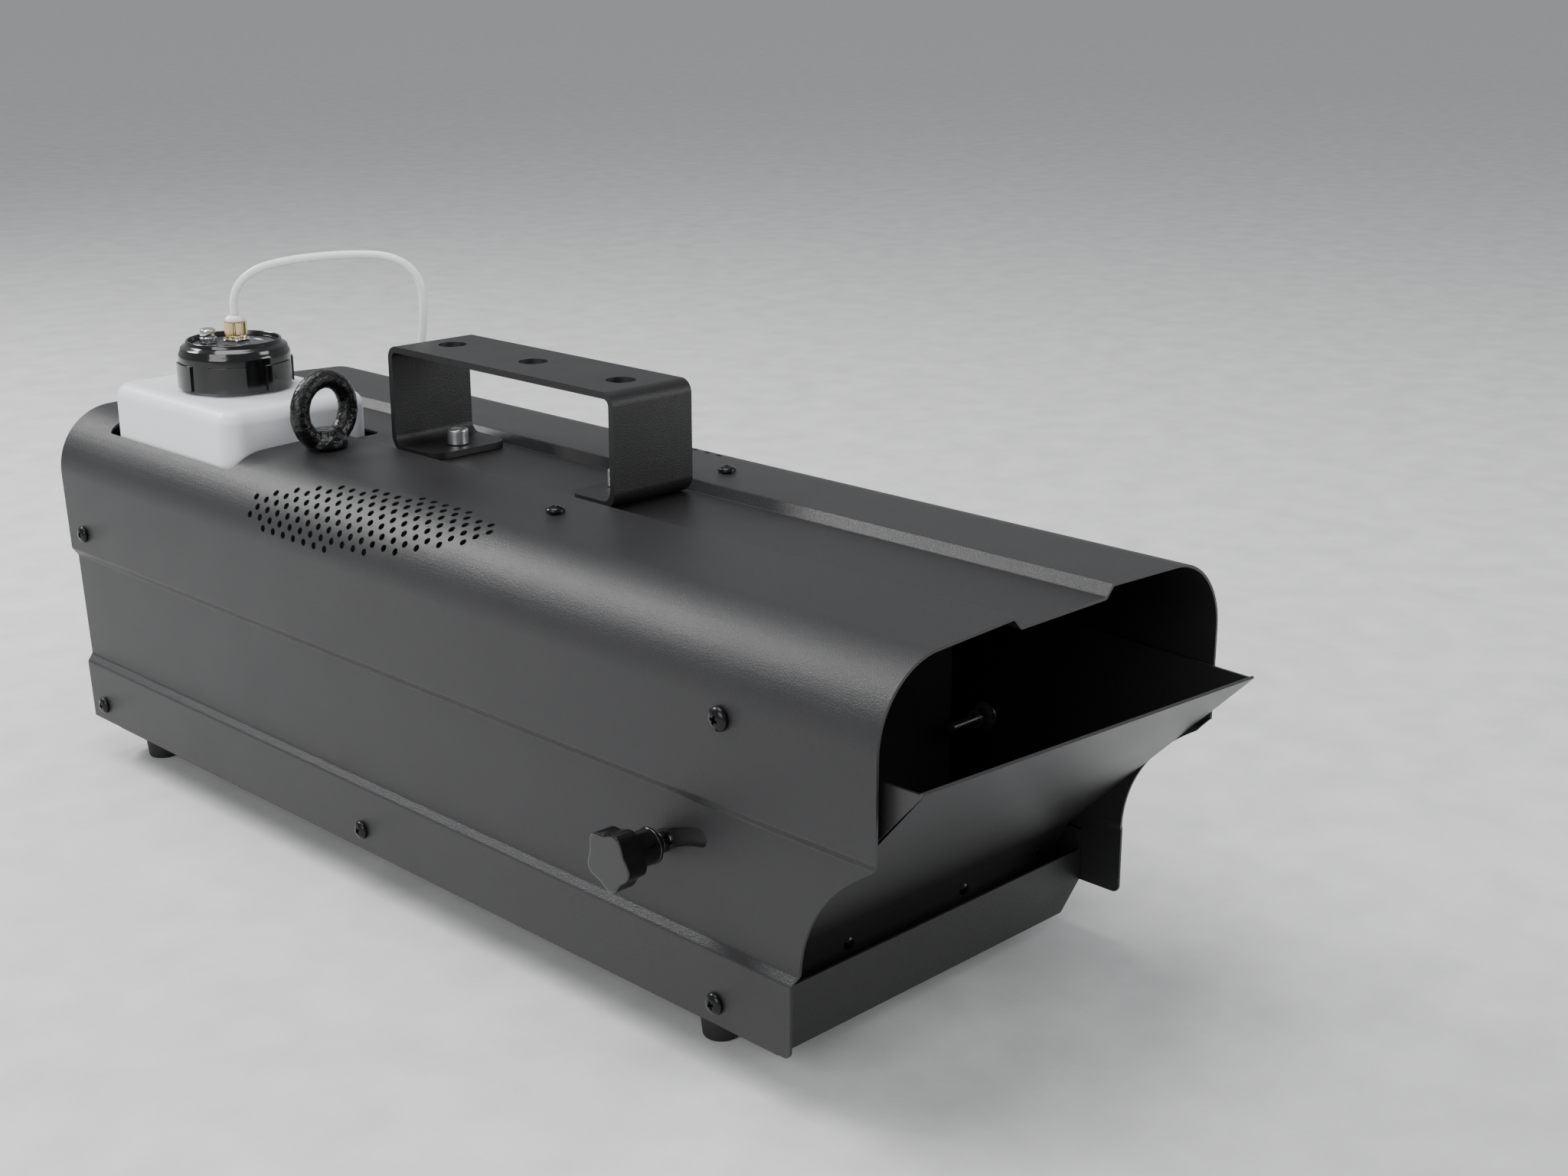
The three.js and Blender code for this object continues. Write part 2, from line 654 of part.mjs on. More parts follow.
// Hexagon nut with a flange, held on the inside of the wing.
function clampNut() {
  const face = FLAP.half - GAP;
  const flange = rod(6.3, face - 1.4, face, 16);
  const hexagon = rod(4.7, face - 8, face - 1, 6);
  return cut(join(toSolid(flange), toSolid(hexagon)), toSolid(rod(STUD.r + GAP, face - 10, face + 2, 12)));
}

function lobedOutline(lobes, tipR, valleyR, steps) {
  return Array.from({ length: steps }, (_, i) => {
    const angle = (2 * Math.PI * i) / steps;
    const r = (tipR + valleyR) / 2 + ((tipR - valleyR) / 2) * Math.cos(lobes * angle);
    return [r * Math.sin(angle), -r * Math.cos(angle)];
  });
}

// A shoulder that bears on the cover, a collar, then the lobed grip. Made along +Z from the machine's middle.
function clampKnob() {
  const start = COVER.midHalf + GAP;
  const collar = turned([
    [0, start],
    [4.6, start],
    [4.6, start + 6],
    [7.4, start + 6],
    [7, start + 19],
    [0, start + 19],
  ], 20);
  const grip = prismZ(lobedOutline(KNOB.lobes, KNOB.tipR, KNOB.valleyR, 40), start + 18.6, start + 27.8);
  const bore = rod(STUD.r + GAP, start - 2, STUD.outer + GAP, 12);
  return cut(join(toSolid(collar), toSolid(grip)), toSolid(bore));
}

function addFlap() {
  add("deflector_flap", deflectorFlap(), blackPaint);
  const [y, z] = studPlace();
  for (const [sideName, side] of Object.entries(SIDES)) {
    add(`clamp_stud_${sideName}`, alongX(clampStud(), side), brightSteel).position.set(0, y, z);
    add(`clamp_nut_${sideName}`, alongX(toGeometry(clampNut()), side), brightSteel).position.set(0, y, z);
    const knob = toGeometry(clampKnob());
    const turn = THREE.MathUtils.degToRad(KNOB.turn);
    add(`clamp_knob_${sideName}`, alongX(knob, side).rotateX(turn), glossPlastic).position.set(0, y, z);
  }
}

// ---------------------------------------------------------------- fluid bottle, cap and suction tube
function bottleBody(inset) {
  const { x0, x1, y0, y1, z0, z1 } = BOTTLE;
  const edge = BOTTLE.edge - inset / 2;
  const corner = BOTTLE.corner - inset;
  const outline = shapeOf(roundedRect(x0 + inset, y0 + inset, x1 - inset, y1 - inset, corner, 4));
  return new THREE.ExtrudeGeometry(outline, {
    depth: z1 - z0 - 2 * inset - 2 * edge,
    bevelThickness: edge,
    bevelSize: edge,
    bevelOffset: -edge,
    bevelSegments: 3,
  }).translate(0, 0, z0 + inset + edge);
}

function fluidBottle() {
  const { z1, wall, neckR, neckTop } = BOTTLE;
  const neck = rod(neckR, z1 - 4, neckTop, 24).translate(CAP.x, CAP.y, 0);
  const mouth = rod(neckR - 2.4, z1 - 8, neckTop + 5, 24).translate(CAP.x, CAP.y, 0);
  return cut(join(toSolid(bottleBody(0)), toSolid(neck)), toSolid(bottleBody(wall)), toSolid(mouth));
}

// The screw ring: a skirt with raised grip panels, a chamfer, a rim, and a lip that holds the insert down.
function bottleCap() {
  const profile = [
    [22.6, CAP.bottom],
    [27, CAP.bottom],
    [27, 198.2],
    [26.2, 199],
    [25.8, 201],
    [23.4, 202],
    [22.9, 204],
    [21.9, 204],
    [21.5, 201.8],
    [20.9, 201.8],
    [20.9, 199.2],
    [22.6, 199.2],
    [22.6, CAP.bottom],
  ];
  const ring = toSolid(turned(profile, 36));
  const half = CAP.ribArc / 2;
  const panel = [...arcPoints(0, 0, 28, -half, half, 4), ...arcPoints(0, 0, 25.5, half, -half, 4)];
  const panels = Array.from({ length: CAP.ribs }, (_, i) => {
    const turn = (i * 2 * Math.PI) / CAP.ribs + CAP.ribTurn;
    return toSolid(prismZ(panel, CAP.bottom + 0.3, CAP.ribTop).rotateZ(turn));
  });
  return join(ring, ...panels);
}

function capInsert() {
  const z = BOTTLE.neckTop + GAP;
  const disc = turned([[0, z], [22, z], [22, z + 1.5], [20.5, z + 1.5], [20.5, 201.2], [0, 201.2]], 24);
  const hose = rod(3.3, 190, 210, 10).translate(HOSE.x - CAP.x, HOSE.y - CAP.y, 0);
  const vent = rod(2.2, 190, 210, 8).translate(VENT.x - CAP.x, VENT.y - CAP.y, 0);
  return cut(toSolid(disc), toSolid(hose), toSolid(vent));
}

// Shank through the insert, hexagon base, knurled body and a pale collar at the top.
function hoseFitting() {
  const z = 201.2 + GAP;
  const shank = turned([[0, 195], [3, 195], [3, z + 1], [0, z + 1]], 10);
  const hexagon = rod(7.2, z, z + 2.6, 6);
  const body = turned([
    [0, z + 2],
    [5, z + 2],
    [5, 206],
    [5.4, 206.6],
    [5.4, 212],
    [4.8, 212.2],
    [4.8, 213.8],
    [3, HOSE.top],
    [0, HOSE.top],
  ], 12);
  return join(toSolid(shank), toSolid(hexagon), toSolid(body));
}

function ventFitting() {
  const z = 201.2 + GAP;
  return turned([
    [0, 195],
    [1.9, 195],
    [1.9, z],
    [4.4, z],
    [4.4, z + 2.2],
    [3.3, z + 2.4],
    [3.9, z + 3],
    [3.9, z + 6.2],
    [2.8, z + 7],
    [0, z + 7],
  ], 10);
}

function dipTube() {
  return rod(TUBE_R, 12, 194.6, 8);
}

// From the hose fitting over a flat-topped arch, then down into the grommet behind the bracket.
const TUBE_ROUTE = [
  [HOSE.x, HOSE.y, HOSE.top + GAP],
  [HOSE.x, HOSE.y, 222],
  [-47.3, 470.8, 228.5],
  [-44.2, 467, 234.2],
  [-38.6, 460.8, 238.9],
  [-30.5, 452.2, 241.9],
  [-22.2, 441.8, 243.9],
  [-13.2, 430.5, 245.2],
  [-4.4, 419.4, 245.6],
  [1.8, 411.4, 244.4],
  [7.1, 404.4, 240.3],
  [10.1, 400.2, 233.2],
  [10.8, 399.1, 224],
  [10.4, 399.4, 213],
  [9.1, 400.6, 200],
  [7, 402, 188],
  [5, 403.3, 177.5],
  [3.8, 404.1, 170],
  [GROMMET.x, GROMMET.y, 163.6],
];

function suctionTube() {
  const curve = new THREE.CatmullRomCurve3(TUBE_ROUTE.map((point) => new THREE.Vector3(...point)));
  const section = shapeOf(arcPoints(0, 0, TUBE_R, 0, 315, 7));
  return new THREE.ExtrudeGeometry(section, { steps: 42, extrudePath: curve, bevelEnabled: false });
}

function tubeGrommet() {
  const z = COVER.floorZ;
  return turned([
    [2.4, z - 3],
    [6.6, z - 3],
    [6.6, z - SHEET - GAP],
    [4.8, z - SHEET - GAP],
    [4.8, z + GAP],
    [6.8, z + GAP],
    [6.2, z + 2.6],
    [3.4, z + 5.2],
    [2.4, z + 5.2],
    [2.4, z - 3],
  ], 14);
}

function tankTray() {
  const { x0, x1, y0, y1 } = BOTTLE;
  const gap = 0.5;
  const wall = 2;
  const outer = box(x0 - wall, y0 - wall, -5, x1 + wall, y1 + wall, 25);
  const inner = box(x0 - gap, y0 - gap, -3.5, x1 + gap, y1 + gap, 30);
  const rails = [-80, -25].map((x) => box(x, 420, TRAY.bottom + SHEET + GAP, x + 8, 531, -4.9));
  return join(cut(toSolid(outer), toSolid(inner)), ...rails.map(toSolid));
}

function addBottle() {
  add("tank_tray", tankTray(), innerPaint);
  add("fluid_bottle", fluidBottle(), milkyPlastic);
  add("bottle_cap", bottleCap(), glossPlastic).position.set(CAP.x, CAP.y, 0);
  add("cap_insert", capInsert(), mattePlastic).position.set(CAP.x, CAP.y, 0);
  add("hose_fitting", hoseFitting(), brass).position.set(HOSE.x, HOSE.y, 0);
  add("vent_fitting", ventFitting(), brightSteel).position.set(VENT.x, VENT.y, 0);
  add("dip_tube", dipTube(), milkyPlastic).position.set(HOSE.x, HOSE.y, 0);
  add("suction_tube", suctionTube(), milkyPlastic);
  add("tube_grommet", tubeGrommet(), rubber).position.set(GROMMET.x, GROMMET.y, 0);
}

// ---------------------------------------------------------------- heater, pump, fan and board
function heatShield() {
  const outline = [[-90, -9.5], [90, -9.5], [90, 120], [66, 150], [-66, 150], [-90, 120]];
  const plate = toSolid(prismY(outline, SHIELD_Y, SHIELD_Y + SHEET));
  const pipe = alongY(rod(6, 0, 20), 1).translate(NOZZLE.x, SHIELD_Y - 10, NOZZLE.z);
  const corners = Object.values(SIDES).map((side) => {
    return box(side * 92 - 8, SHIELD_Y - 5, -12, side * 92 + 8, SHIELD_Y + 5, 26);
  });
  return cut(plate, toSolid(pipe), ...corners.map(toSolid));
}

function nozzle() {
  const length = HEATER.y0 - GAP - NOZZLE.tip;
  const profile = [[0, 0], [5.5, 0], [5.5, length - 20], [4.4, length - 19], [4.4, length - 12]];
  const tip = [[7, length - 12], [7, length - 5], [3.6, length - 4], [3.6, length], [1.2, length]];
  const bore = [[1.2, length - 8], [0, length - 8]];
  return alongY(turned([...profile, ...tip, ...bore]), -1).translate(NOZZLE.x, HEATER.y0 - GAP, NOZZLE.z);
}

function heaterBlock() {
  const { y0, y1, z, r } = HEATER;
  const profile = [[0, 0], [r - 4, 0]];
  const fins = 9;
  const pitch = (y1 - y0) / fins;
  for (let i = 0; i < fins; i += 1) {
    const start = i * pitch;
    profile.push([r - 4, start + 4], [r, start + 4], [r, start + pitch - 4], [r - 4, start + pitch - 4]);
  }
  profile.push([r - 4, y1 - y0], [0, y1 - y0]);
  return alongY(turned(profile, 20), 1).translate(0, y0, z);
}

function heaterSupport(y) {
  const seat = HEATER.r + GAP + 0.2;
  const outline = [
    [-44, TRAY.bottom + SHEET + GAP],
    [44, TRAY.bottom + SHEET + GAP],
    [44, HEATER.z - 8],
    ...arcPoints(0, HEATER.z, seat, -14, -166, 10),
    [-44, HEATER.z - 8],
  ];
  return prismY(outline, y, y + 2);
}

function pumpBody() {
  const { x, y0, y1, z, half, boreR } = PUMP;
  const block = prismY(roundedRect(x - half, z - half, x + half, z + half, 4, 2), y0, y1);
  const legs = box(x - half, y0 + 6, TRAY.bottom + SHEET + GAP, x + half, y1 - 6, z - half + 2);
  const bore = alongY(rod(boreR, y0 + 20, y1 + 5, 14), 1).translate(x, 0, z);
  return cut(join(toSolid(block), toSolid(legs)), toSolid(bore));
}

function pumpPlunger() {
  const { x, y0, y1, z, boreR } = PUMP;
  const r = boreR - 0.4;
  const profile = [[0, y0 + 24], [r, y0 + 24], [r, y1 - 4], [3, y1 - 4], [3, y1 + 3], [0, y1 + 3]];
  return alongY(turned(profile, 14), 1).translate(x, 0, z);
}

function feedPipe() {
  const points = [
    [PUMP.x, PUMP.y0 - GAP, PUMP.z],
    [PUMP.x, 415, PUMP.z + 1],
    [PUMP.x + 1, 398, PUMP.z + 10],
    [PUMP.x + 2, 385, PUMP.z + 26],
    [PUMP.x + 2, 370, PUMP.z + 40],
    [PUMP.x, 358, PUMP.z + 49],
    [PUMP.x - 8, 352, PUMP.z + 54],
    [26, 351, PUMP.z + 57],
    [15, 350.5, PUMP.z + 58],
    [9.5, 348, PUMP.z + 58],
    [8, 344.5, PUMP.z + 58],
    [8, HEATER.y1 + GAP, PUMP.z + 58],
  ];
  const curve = new THREE.CatmullRomCurve3(points.map((point) => new THREE.Vector3(...point)));
  return new THREE.ExtrudeGeometry(shapeOf(arcPoints(0, 0, 2, 0, 315, 7)), {
    steps: 24,
    extrudePath: curve,
    bevelEnabled: false,
  });
}

function fanFrame() {
  const { y, depth, half, z, boreR, hubR } = FAN;
  const frame = prismY(roundedRect(-half, z - half, half, z + half, 4, 2), y, y + depth);
  const bore = alongY(rod(boreR, y - 2, y + depth + 2, 24), 1).translate(0, 0, z);
  const motor = alongY(rod(hubR, y + depth - 3, y + depth, 12), 1).translate(0, 0, z);
  const strut = box(-2, y + depth - 3, -boreR - 1, 2, y + depth, 0);
  const struts = [0, 120, 240].map((degrees) => {
    const turn = strut.clone().rotateY(THREE.MathUtils.degToRad(degrees));
    return toSolid(turn.translate(0, 0, z));
  });
  const leg = box(-24, y, TRAY.bottom + SHEET + GAP, 24, y + 2, z - half + 1);
  return join(cut(toSolid(frame), toSolid(bore)), toSolid(motor), ...struts, toSolid(leg));
}

function fanRotor() {
  const { y, depth, z, boreR, hubR } = FAN;
  const hub = alongY(rod(hubR, y + 1, y + depth - 3 - 2 * GAP, 12), 1);
  const blades = Array.from({ length: 5 }, (_, i) => {
    const blade = new THREE.BoxGeometry(boreR - hubR + 2, 1.6, 15).translate((boreR + hubR) / 2 - 1.9, 0, 0);
    blade.rotateX(THREE.MathUtils.degToRad(52)).rotateY((i * 2 * Math.PI) / 5);
    return toSolid(blade.translate(0, y + 7.2, 0));
  });
  return join(toSolid(hub), ...blades).translate([0, 0, z]);
}

function controlBoard() {
  const x = 88;
  const board = box(x - 1.6, 404, 32, x, 532, 122);
  const parts = [
    box(x - 22, 412, 40, x - 1.5, 446, 74),
    box(x - 14, 456, 42, x - 1.5, 474, 60),
    box(x - 9, 486, 44, x - 1.5, 520, 56),
    box(x - 12, 412, 88, x - 1.5, 424, 116),
    box(x - 5, 440, 88, x - 1.5, 468, 110),
    box(x - 16, 486, 80, x - 1.5, 502, 96),
  ];
  return join(toSolid(board), ...parts.map(toSolid));
}

function addInside() {
  add("heat_shield", heatShield(), innerPaint);
  add("fog_nozzle", nozzle(), brass);
  add("heater_block", heaterBlock(), castAluminium);
  add("heater_support_front", heaterSupport(HEATER.y0 + 22), innerPaint);
  add("heater_support_rear", heaterSupport(HEATER.y1 - 24), innerPaint);
  add("pump_body", pumpBody(), mattePlastic);
  add("pump_plunger", pumpPlunger(), brightSteel);
  add("feed_pipe", feedPipe(), brightSteel);
  add("fan_frame", fanFrame(), mattePlastic);
  add("fan_rotor", fanRotor(), mattePlastic);
  add("control_board", controlBoard(), boardGreen);
}

// ---------------------------------------------------------------- the whole machine
add("cover_shell", coverShell(), blackPaint);
add("base_tray", baseTray(), blackPaint);
addFeet();
addRear();
addSideScrews();
add("hanging_bracket", hangingBracket(), blackPaint);
BRACKET_SCREWS.forEach((y, i) => {
  const screw = add(`bracket_screw_${["front", "rear"][i]}`, capScrew(), brightSteel);
  screw.position.set(0, y, COVER.floorZ + BRACKET.thick + 2 * GAP);
});
add("eye_bolt", eyeBolt(), blackSteel).position.set(EYE.x, EYE.y, EYE.z);
addFlap();
addBottle();
addInside();

// The origin moves to the middle of the footprint, on the surface that the feet stand on.
const machine = new THREE.Group();
machine.add(PARTS);
machine.updateMatrixWorld(true);
const extent = new THREE.Box3().setFromObject(PARTS, true);
const middle = extent.getCenter(new THREE.Vector3());
PARTS.position.set(-middle.x, -middle.y, -extent.min.z);

export default machine;
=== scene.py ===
"""Looks of the fog machine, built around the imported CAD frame.

Shapes are written in the machine's own millimetres: x across, y = 0 at the hood's front edge and growing
towards the rear, z = 0 at the cover's lower edge. row() turns them into the frame's metres.
"""
import math

import bmesh
import bpy
from mathutils import Matrix, Vector


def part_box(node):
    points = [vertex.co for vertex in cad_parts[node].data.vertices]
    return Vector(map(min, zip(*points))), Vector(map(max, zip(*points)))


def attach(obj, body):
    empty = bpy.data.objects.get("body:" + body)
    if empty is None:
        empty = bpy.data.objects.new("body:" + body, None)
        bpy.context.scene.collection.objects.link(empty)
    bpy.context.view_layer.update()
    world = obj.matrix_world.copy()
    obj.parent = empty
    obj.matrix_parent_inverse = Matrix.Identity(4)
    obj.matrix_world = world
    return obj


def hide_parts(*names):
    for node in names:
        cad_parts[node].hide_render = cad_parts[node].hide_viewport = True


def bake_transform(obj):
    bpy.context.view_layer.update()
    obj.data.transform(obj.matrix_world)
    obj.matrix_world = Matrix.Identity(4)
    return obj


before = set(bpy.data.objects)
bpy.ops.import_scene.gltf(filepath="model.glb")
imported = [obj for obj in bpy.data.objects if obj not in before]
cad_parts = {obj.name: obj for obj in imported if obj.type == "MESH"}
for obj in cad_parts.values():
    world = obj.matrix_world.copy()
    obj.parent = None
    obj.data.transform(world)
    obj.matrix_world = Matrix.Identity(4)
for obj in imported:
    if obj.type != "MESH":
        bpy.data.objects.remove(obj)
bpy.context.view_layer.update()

MM = 0.001
COVER_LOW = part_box("cover_shell")[0]
ORIGIN = Vector((0.0, COVER_LOW.y, COVER_LOW.z))  # where the machine's own zero lies in the frame

# ------------------------------------------------------------------ driving dimensions, millimetres
SHEET = 1.2
GAP = 0.3  # between neighbouring pieces
HALF, MID_HALF = 100.5, 97.5
STRIP_TOP, MID_BOTTOM, MID_TOP, PANEL_BOTTOM = 29.5, 33.1, 85.7, 89.8
SHOULDER_R, SHOULDER_Z = 32.0, 128.7
CROWN_Z, CHANNEL_X, FLOOR_X, FLOOR_Z = 162.2, 28.8, 24.7, 157.8
STRIP_FRONT = 40.6
REAR_Y, REAR_LEAN = 554.5, 0.085
PIVOT = (79.8, 8.6)
STUD_RADIUS, STUD_ANGLE = 63.8, 61.0
SLOT_FROM, SLOT_TO, SLOT_HALF = 57.0, 80.5, 3.7
WELL_RECT = (-88.8, 419.0, -4.0, 534.0)
BOTTLE = {"x0": -87.8, "y0": 420.8, "x1": -7.8, "y1": 530.8, "z0": -3.2, "z1": 179.5, "wall": 2,
          "corner": 10, "edge": 6.8}
TRAY_HALF, TRAY_BOTTOM, TRAY_FRONT, PLATE_TOP = 98.9, -11.5, 60.8, 14.6
FOOT_X, FOOT_YS, FOOT_HEIGHT = 76.5, {"front": 102, "rear": 530}, 10.5
CAP = (-48.5, 475.5)
HOSE = (-48.6, 472.4)
VENT = (-56.6, 485.3)
GROMMET = (3.4, 404.3)
FITTING_BASE = 201.5  # height of the cap's disc, which both fittings stand on
CAP_TURN = -0.167  # radians, where the first grip panel stands
EYE = (-49.8, 397.3, 162.35)
EYE_RING = {"r": 14.7, "wire_top": 4.45, "wire_bottom": 4.9, "height": 17.35}
EYE_TURN = 8.0  # degrees, how far the ring stands from square
KNOB = {"lobes": 5, "tip": 12.3, "valley": 10.2, "turn": 9.0}  # degrees
STUD = {"r": 2.3, "inner": 70.0, "outer": 114.0, "pitch": 0.8}
FLAP_TWIST = (0.4, 1.4)  # degrees about the pivot, at the middle and added at a wing
BRACKET = {"half": 22.5, "thick": 3.0, "front": 221.7, "rear": 382.7, "top": 208.7, "foot": 32.5,
           "bend": 6.0, "foot_bend": 8.0, "corner": 9.0}
BRACKET_BORES = (-60, 0, 60)  # from the middle of the bar
BRACKET_SCREWS = (245.0, 361.3)
VENTS = {"rows": 10, "each_way": 10, "row_step": 4.33, "step": 8.8, "r": 1.65, "middle": 310.5,
         "squeeze": 0.93}
SIDES = {"left": -1, "right": 1}


def row(v):
    """A point of the machine's own millimetres, in the frame's metres."""
    return Vector(v) * MM + ORIGIN


# ------------------------------------------------------------------ camera, lights and floor
def add_camera():
    data = bpy.data.cameras.new("camera")
    data.sensor_width = 36.0
    data.lens = 48.55
    camera = bpy.data.objects.new("camera", data)
    right = Vector((0.70403, -0.71017, -0.00055))
    back = Vector((-0.67924, -0.67360, 0.29137)).normalized()
    up = back.cross(right).normalized()
    right = up.cross(back).normalized()
    turn = Matrix((right, up, back)).transposed()
    camera.matrix_world = Matrix.LocRotScale(row((-588.54, -440.55, 388.50)), turn, None)
    bpy.context.scene.collection.objects.link(camera)
    bpy.context.scene.camera = camera


def add_area_light(name, place, target, size, power):
    data = bpy.data.lights.new(name, "AREA")
    data.shape = "RECTANGLE"
    data.size, data.size_y = size
    data.energy = power
    light = bpy.data.objects.new(name, data)
    light.location = place
    light.rotation_euler = (Vector(target) - Vector(place)).to_track_quat("-Z", "Y").to_euler()
    bpy.context.scene.collection.objects.link(light)


def add_stage():
    world = bpy.data.worlds.new("studio")
    world.use_nodes = True
    world.node_tree.nodes["Background"].inputs["Color"].default_value = (0.80, 0.82, 0.85, 1)
    world.node_tree.nodes["Background"].inputs["Strength"].default_value = 0.5
    bpy.context.scene.world = world
    middle = (0, 0, 0.1)
    add_area_light("overhead", (-0.2, 0.2, 1.9), middle, (1.3, 1.0), 24)
    add_area_light("rear_strip", (-0.62, 1.45, 1.35), (0, -0.1, 0.15), (0.9, 0.45), 30)
    add_area_light("front_right", (1.3, -1.6, 0.7), middle, (0.8, 0.8), 16)
    add_area_light("left_fill", (-2.0, -0.6, 1.1), middle, (1.4, 1.0), 22)
    bpy.ops.mesh.primitive_grid_add(x_subdivisions=2, y_subdivisions=2, size=60, location=(0, 0, 0))
    floor = bpy.context.object
    floor.name = "floor"
    floor.data.materials.append(surface("floor_paper", (0.72, 0.72, 0.72), 0.75, grain=(300, 0.0002, 0.1)))


# ------------------------------------------------------------------ materials
def link(tree, source, target):
    tree.links.new(source, target)


def add_noise(tree, coordinates, scale, detail=3.0):
    noise = tree.nodes.new("ShaderNodeTexNoise")
    noise.inputs["Scale"].default_value = scale
    noise.inputs["Detail"].default_value = detail
    noise.inputs["Roughness"].default_value = 0.55
    link(tree, coordinates, noise.inputs["Vector"])
    return noise.outputs["Fac"]


def add_range(tree, value, low, high):
    """Spreads the middle part of a noise, where its values lie, from low to high."""
    mapping = tree.nodes.new("ShaderNodeMapRange")
    mapping.inputs["From Min"].default_value = 0.3
    mapping.inputs["From Max"].default_value = 0.7
    mapping.inputs["To Min"].default_value = low
    mapping.inputs["To Max"].default_value = high
    link(tree, value, mapping.inputs["Value"])
    return mapping.outputs["Result"]


def add_mix(tree, value, first, second):
    mix = tree.nodes.new("ShaderNodeMix")
    mix.data_type = "RGBA"
    mix.inputs["A"].default_value = (*first, 1)
    mix.inputs["B"].default_value = (*second, 1)
    link(tree, value, mix.inputs["Factor"])
    return mix.outputs["Result"]


def add_bump(tree, height, distance, strength, previous=None):
    bump = tree.nodes.new("ShaderNodeBump")
    bump.inputs["Distance"].default_value = distance
    bump.inputs["Strength"].default_value = strength
    link(tree, height, bump.inputs["Height"])
    if previous is not None:
        link(tree, previous, bump.inputs["Normal"])
    return bump.outputs["Normal"]


def tinted(colour, factor):
    return tuple(min(1.0, channel * factor) for channel in colour)


def surface(name, colour, roughness, metal=0.0, grain=(1500, 0.0001, 0.4), drift=0.12, coat=0.0,
            subsurface=0.0,
            wave=None, specular=0.5):
    """A procedural material.

    grain is the fine texture's scale, height in metres and strength; drift is how far the colour and the
    roughness wander over the surface; wave is the scale, height and strength of a second, broader
    unevenness.
    """
    material = bpy.data.materials.new(name)
    material.use_nodes = True
    tree = material.node_tree
    shader = tree.nodes["Principled BSDF"]
    place = tree.nodes.new("ShaderNodeTexCoord").outputs["Object"]
    fine = add_noise(tree, place, grain[0])
    broad = add_noise(tree, place, 28, detail=5)
    speck = add_noise(tree, place, 420, detail=2)
    blend = tree.nodes.new("ShaderNodeMath")
    blend.operation = "MULTIPLY_ADD"
    blend.inputs[1].default_value = 0.35
    link(tree, speck, blend.inputs[0])
    link(tree, add_range(tree, broad, 0.0, 0.65), blend.inputs[2])
    shade = add_mix(tree, blend.outputs[0], tinted(colour, 1 - drift), tinted(colour, 1 + drift))
    link(tree, shade, shader.inputs["Base Color"])
    rough = add_range(tree, broad, max(0.02, roughness * (1 - drift)), min(1, roughness * (1 + drift)))
    link(tree, rough, shader.inputs["Roughness"])
    normal = add_bump(tree, fine, grain[1], grain[2])
    if wave:
        normal = add_bump(tree, add_noise(tree, place, wave[0], detail=1), wave[1], wave[2], normal)
    link(tree, normal, shader.inputs["Normal"])
    shader.inputs["Metallic"].default_value = metal
    shader.inputs["Coat Weight"].default_value = coat
    shader.inputs["Coat Roughness"].default_value = 0.08
    shader.inputs["Specular IOR Level"].default_value = specular
    if subsurface:
        shader.inputs["Subsurface Weight"].default_value = subsurface
        shader.inputs["Subsurface Radius"].default_value = (0.012, 0.013, 0.015)
        shader.inputs["Subsurface Scale"].default_value = 0.35
    return material


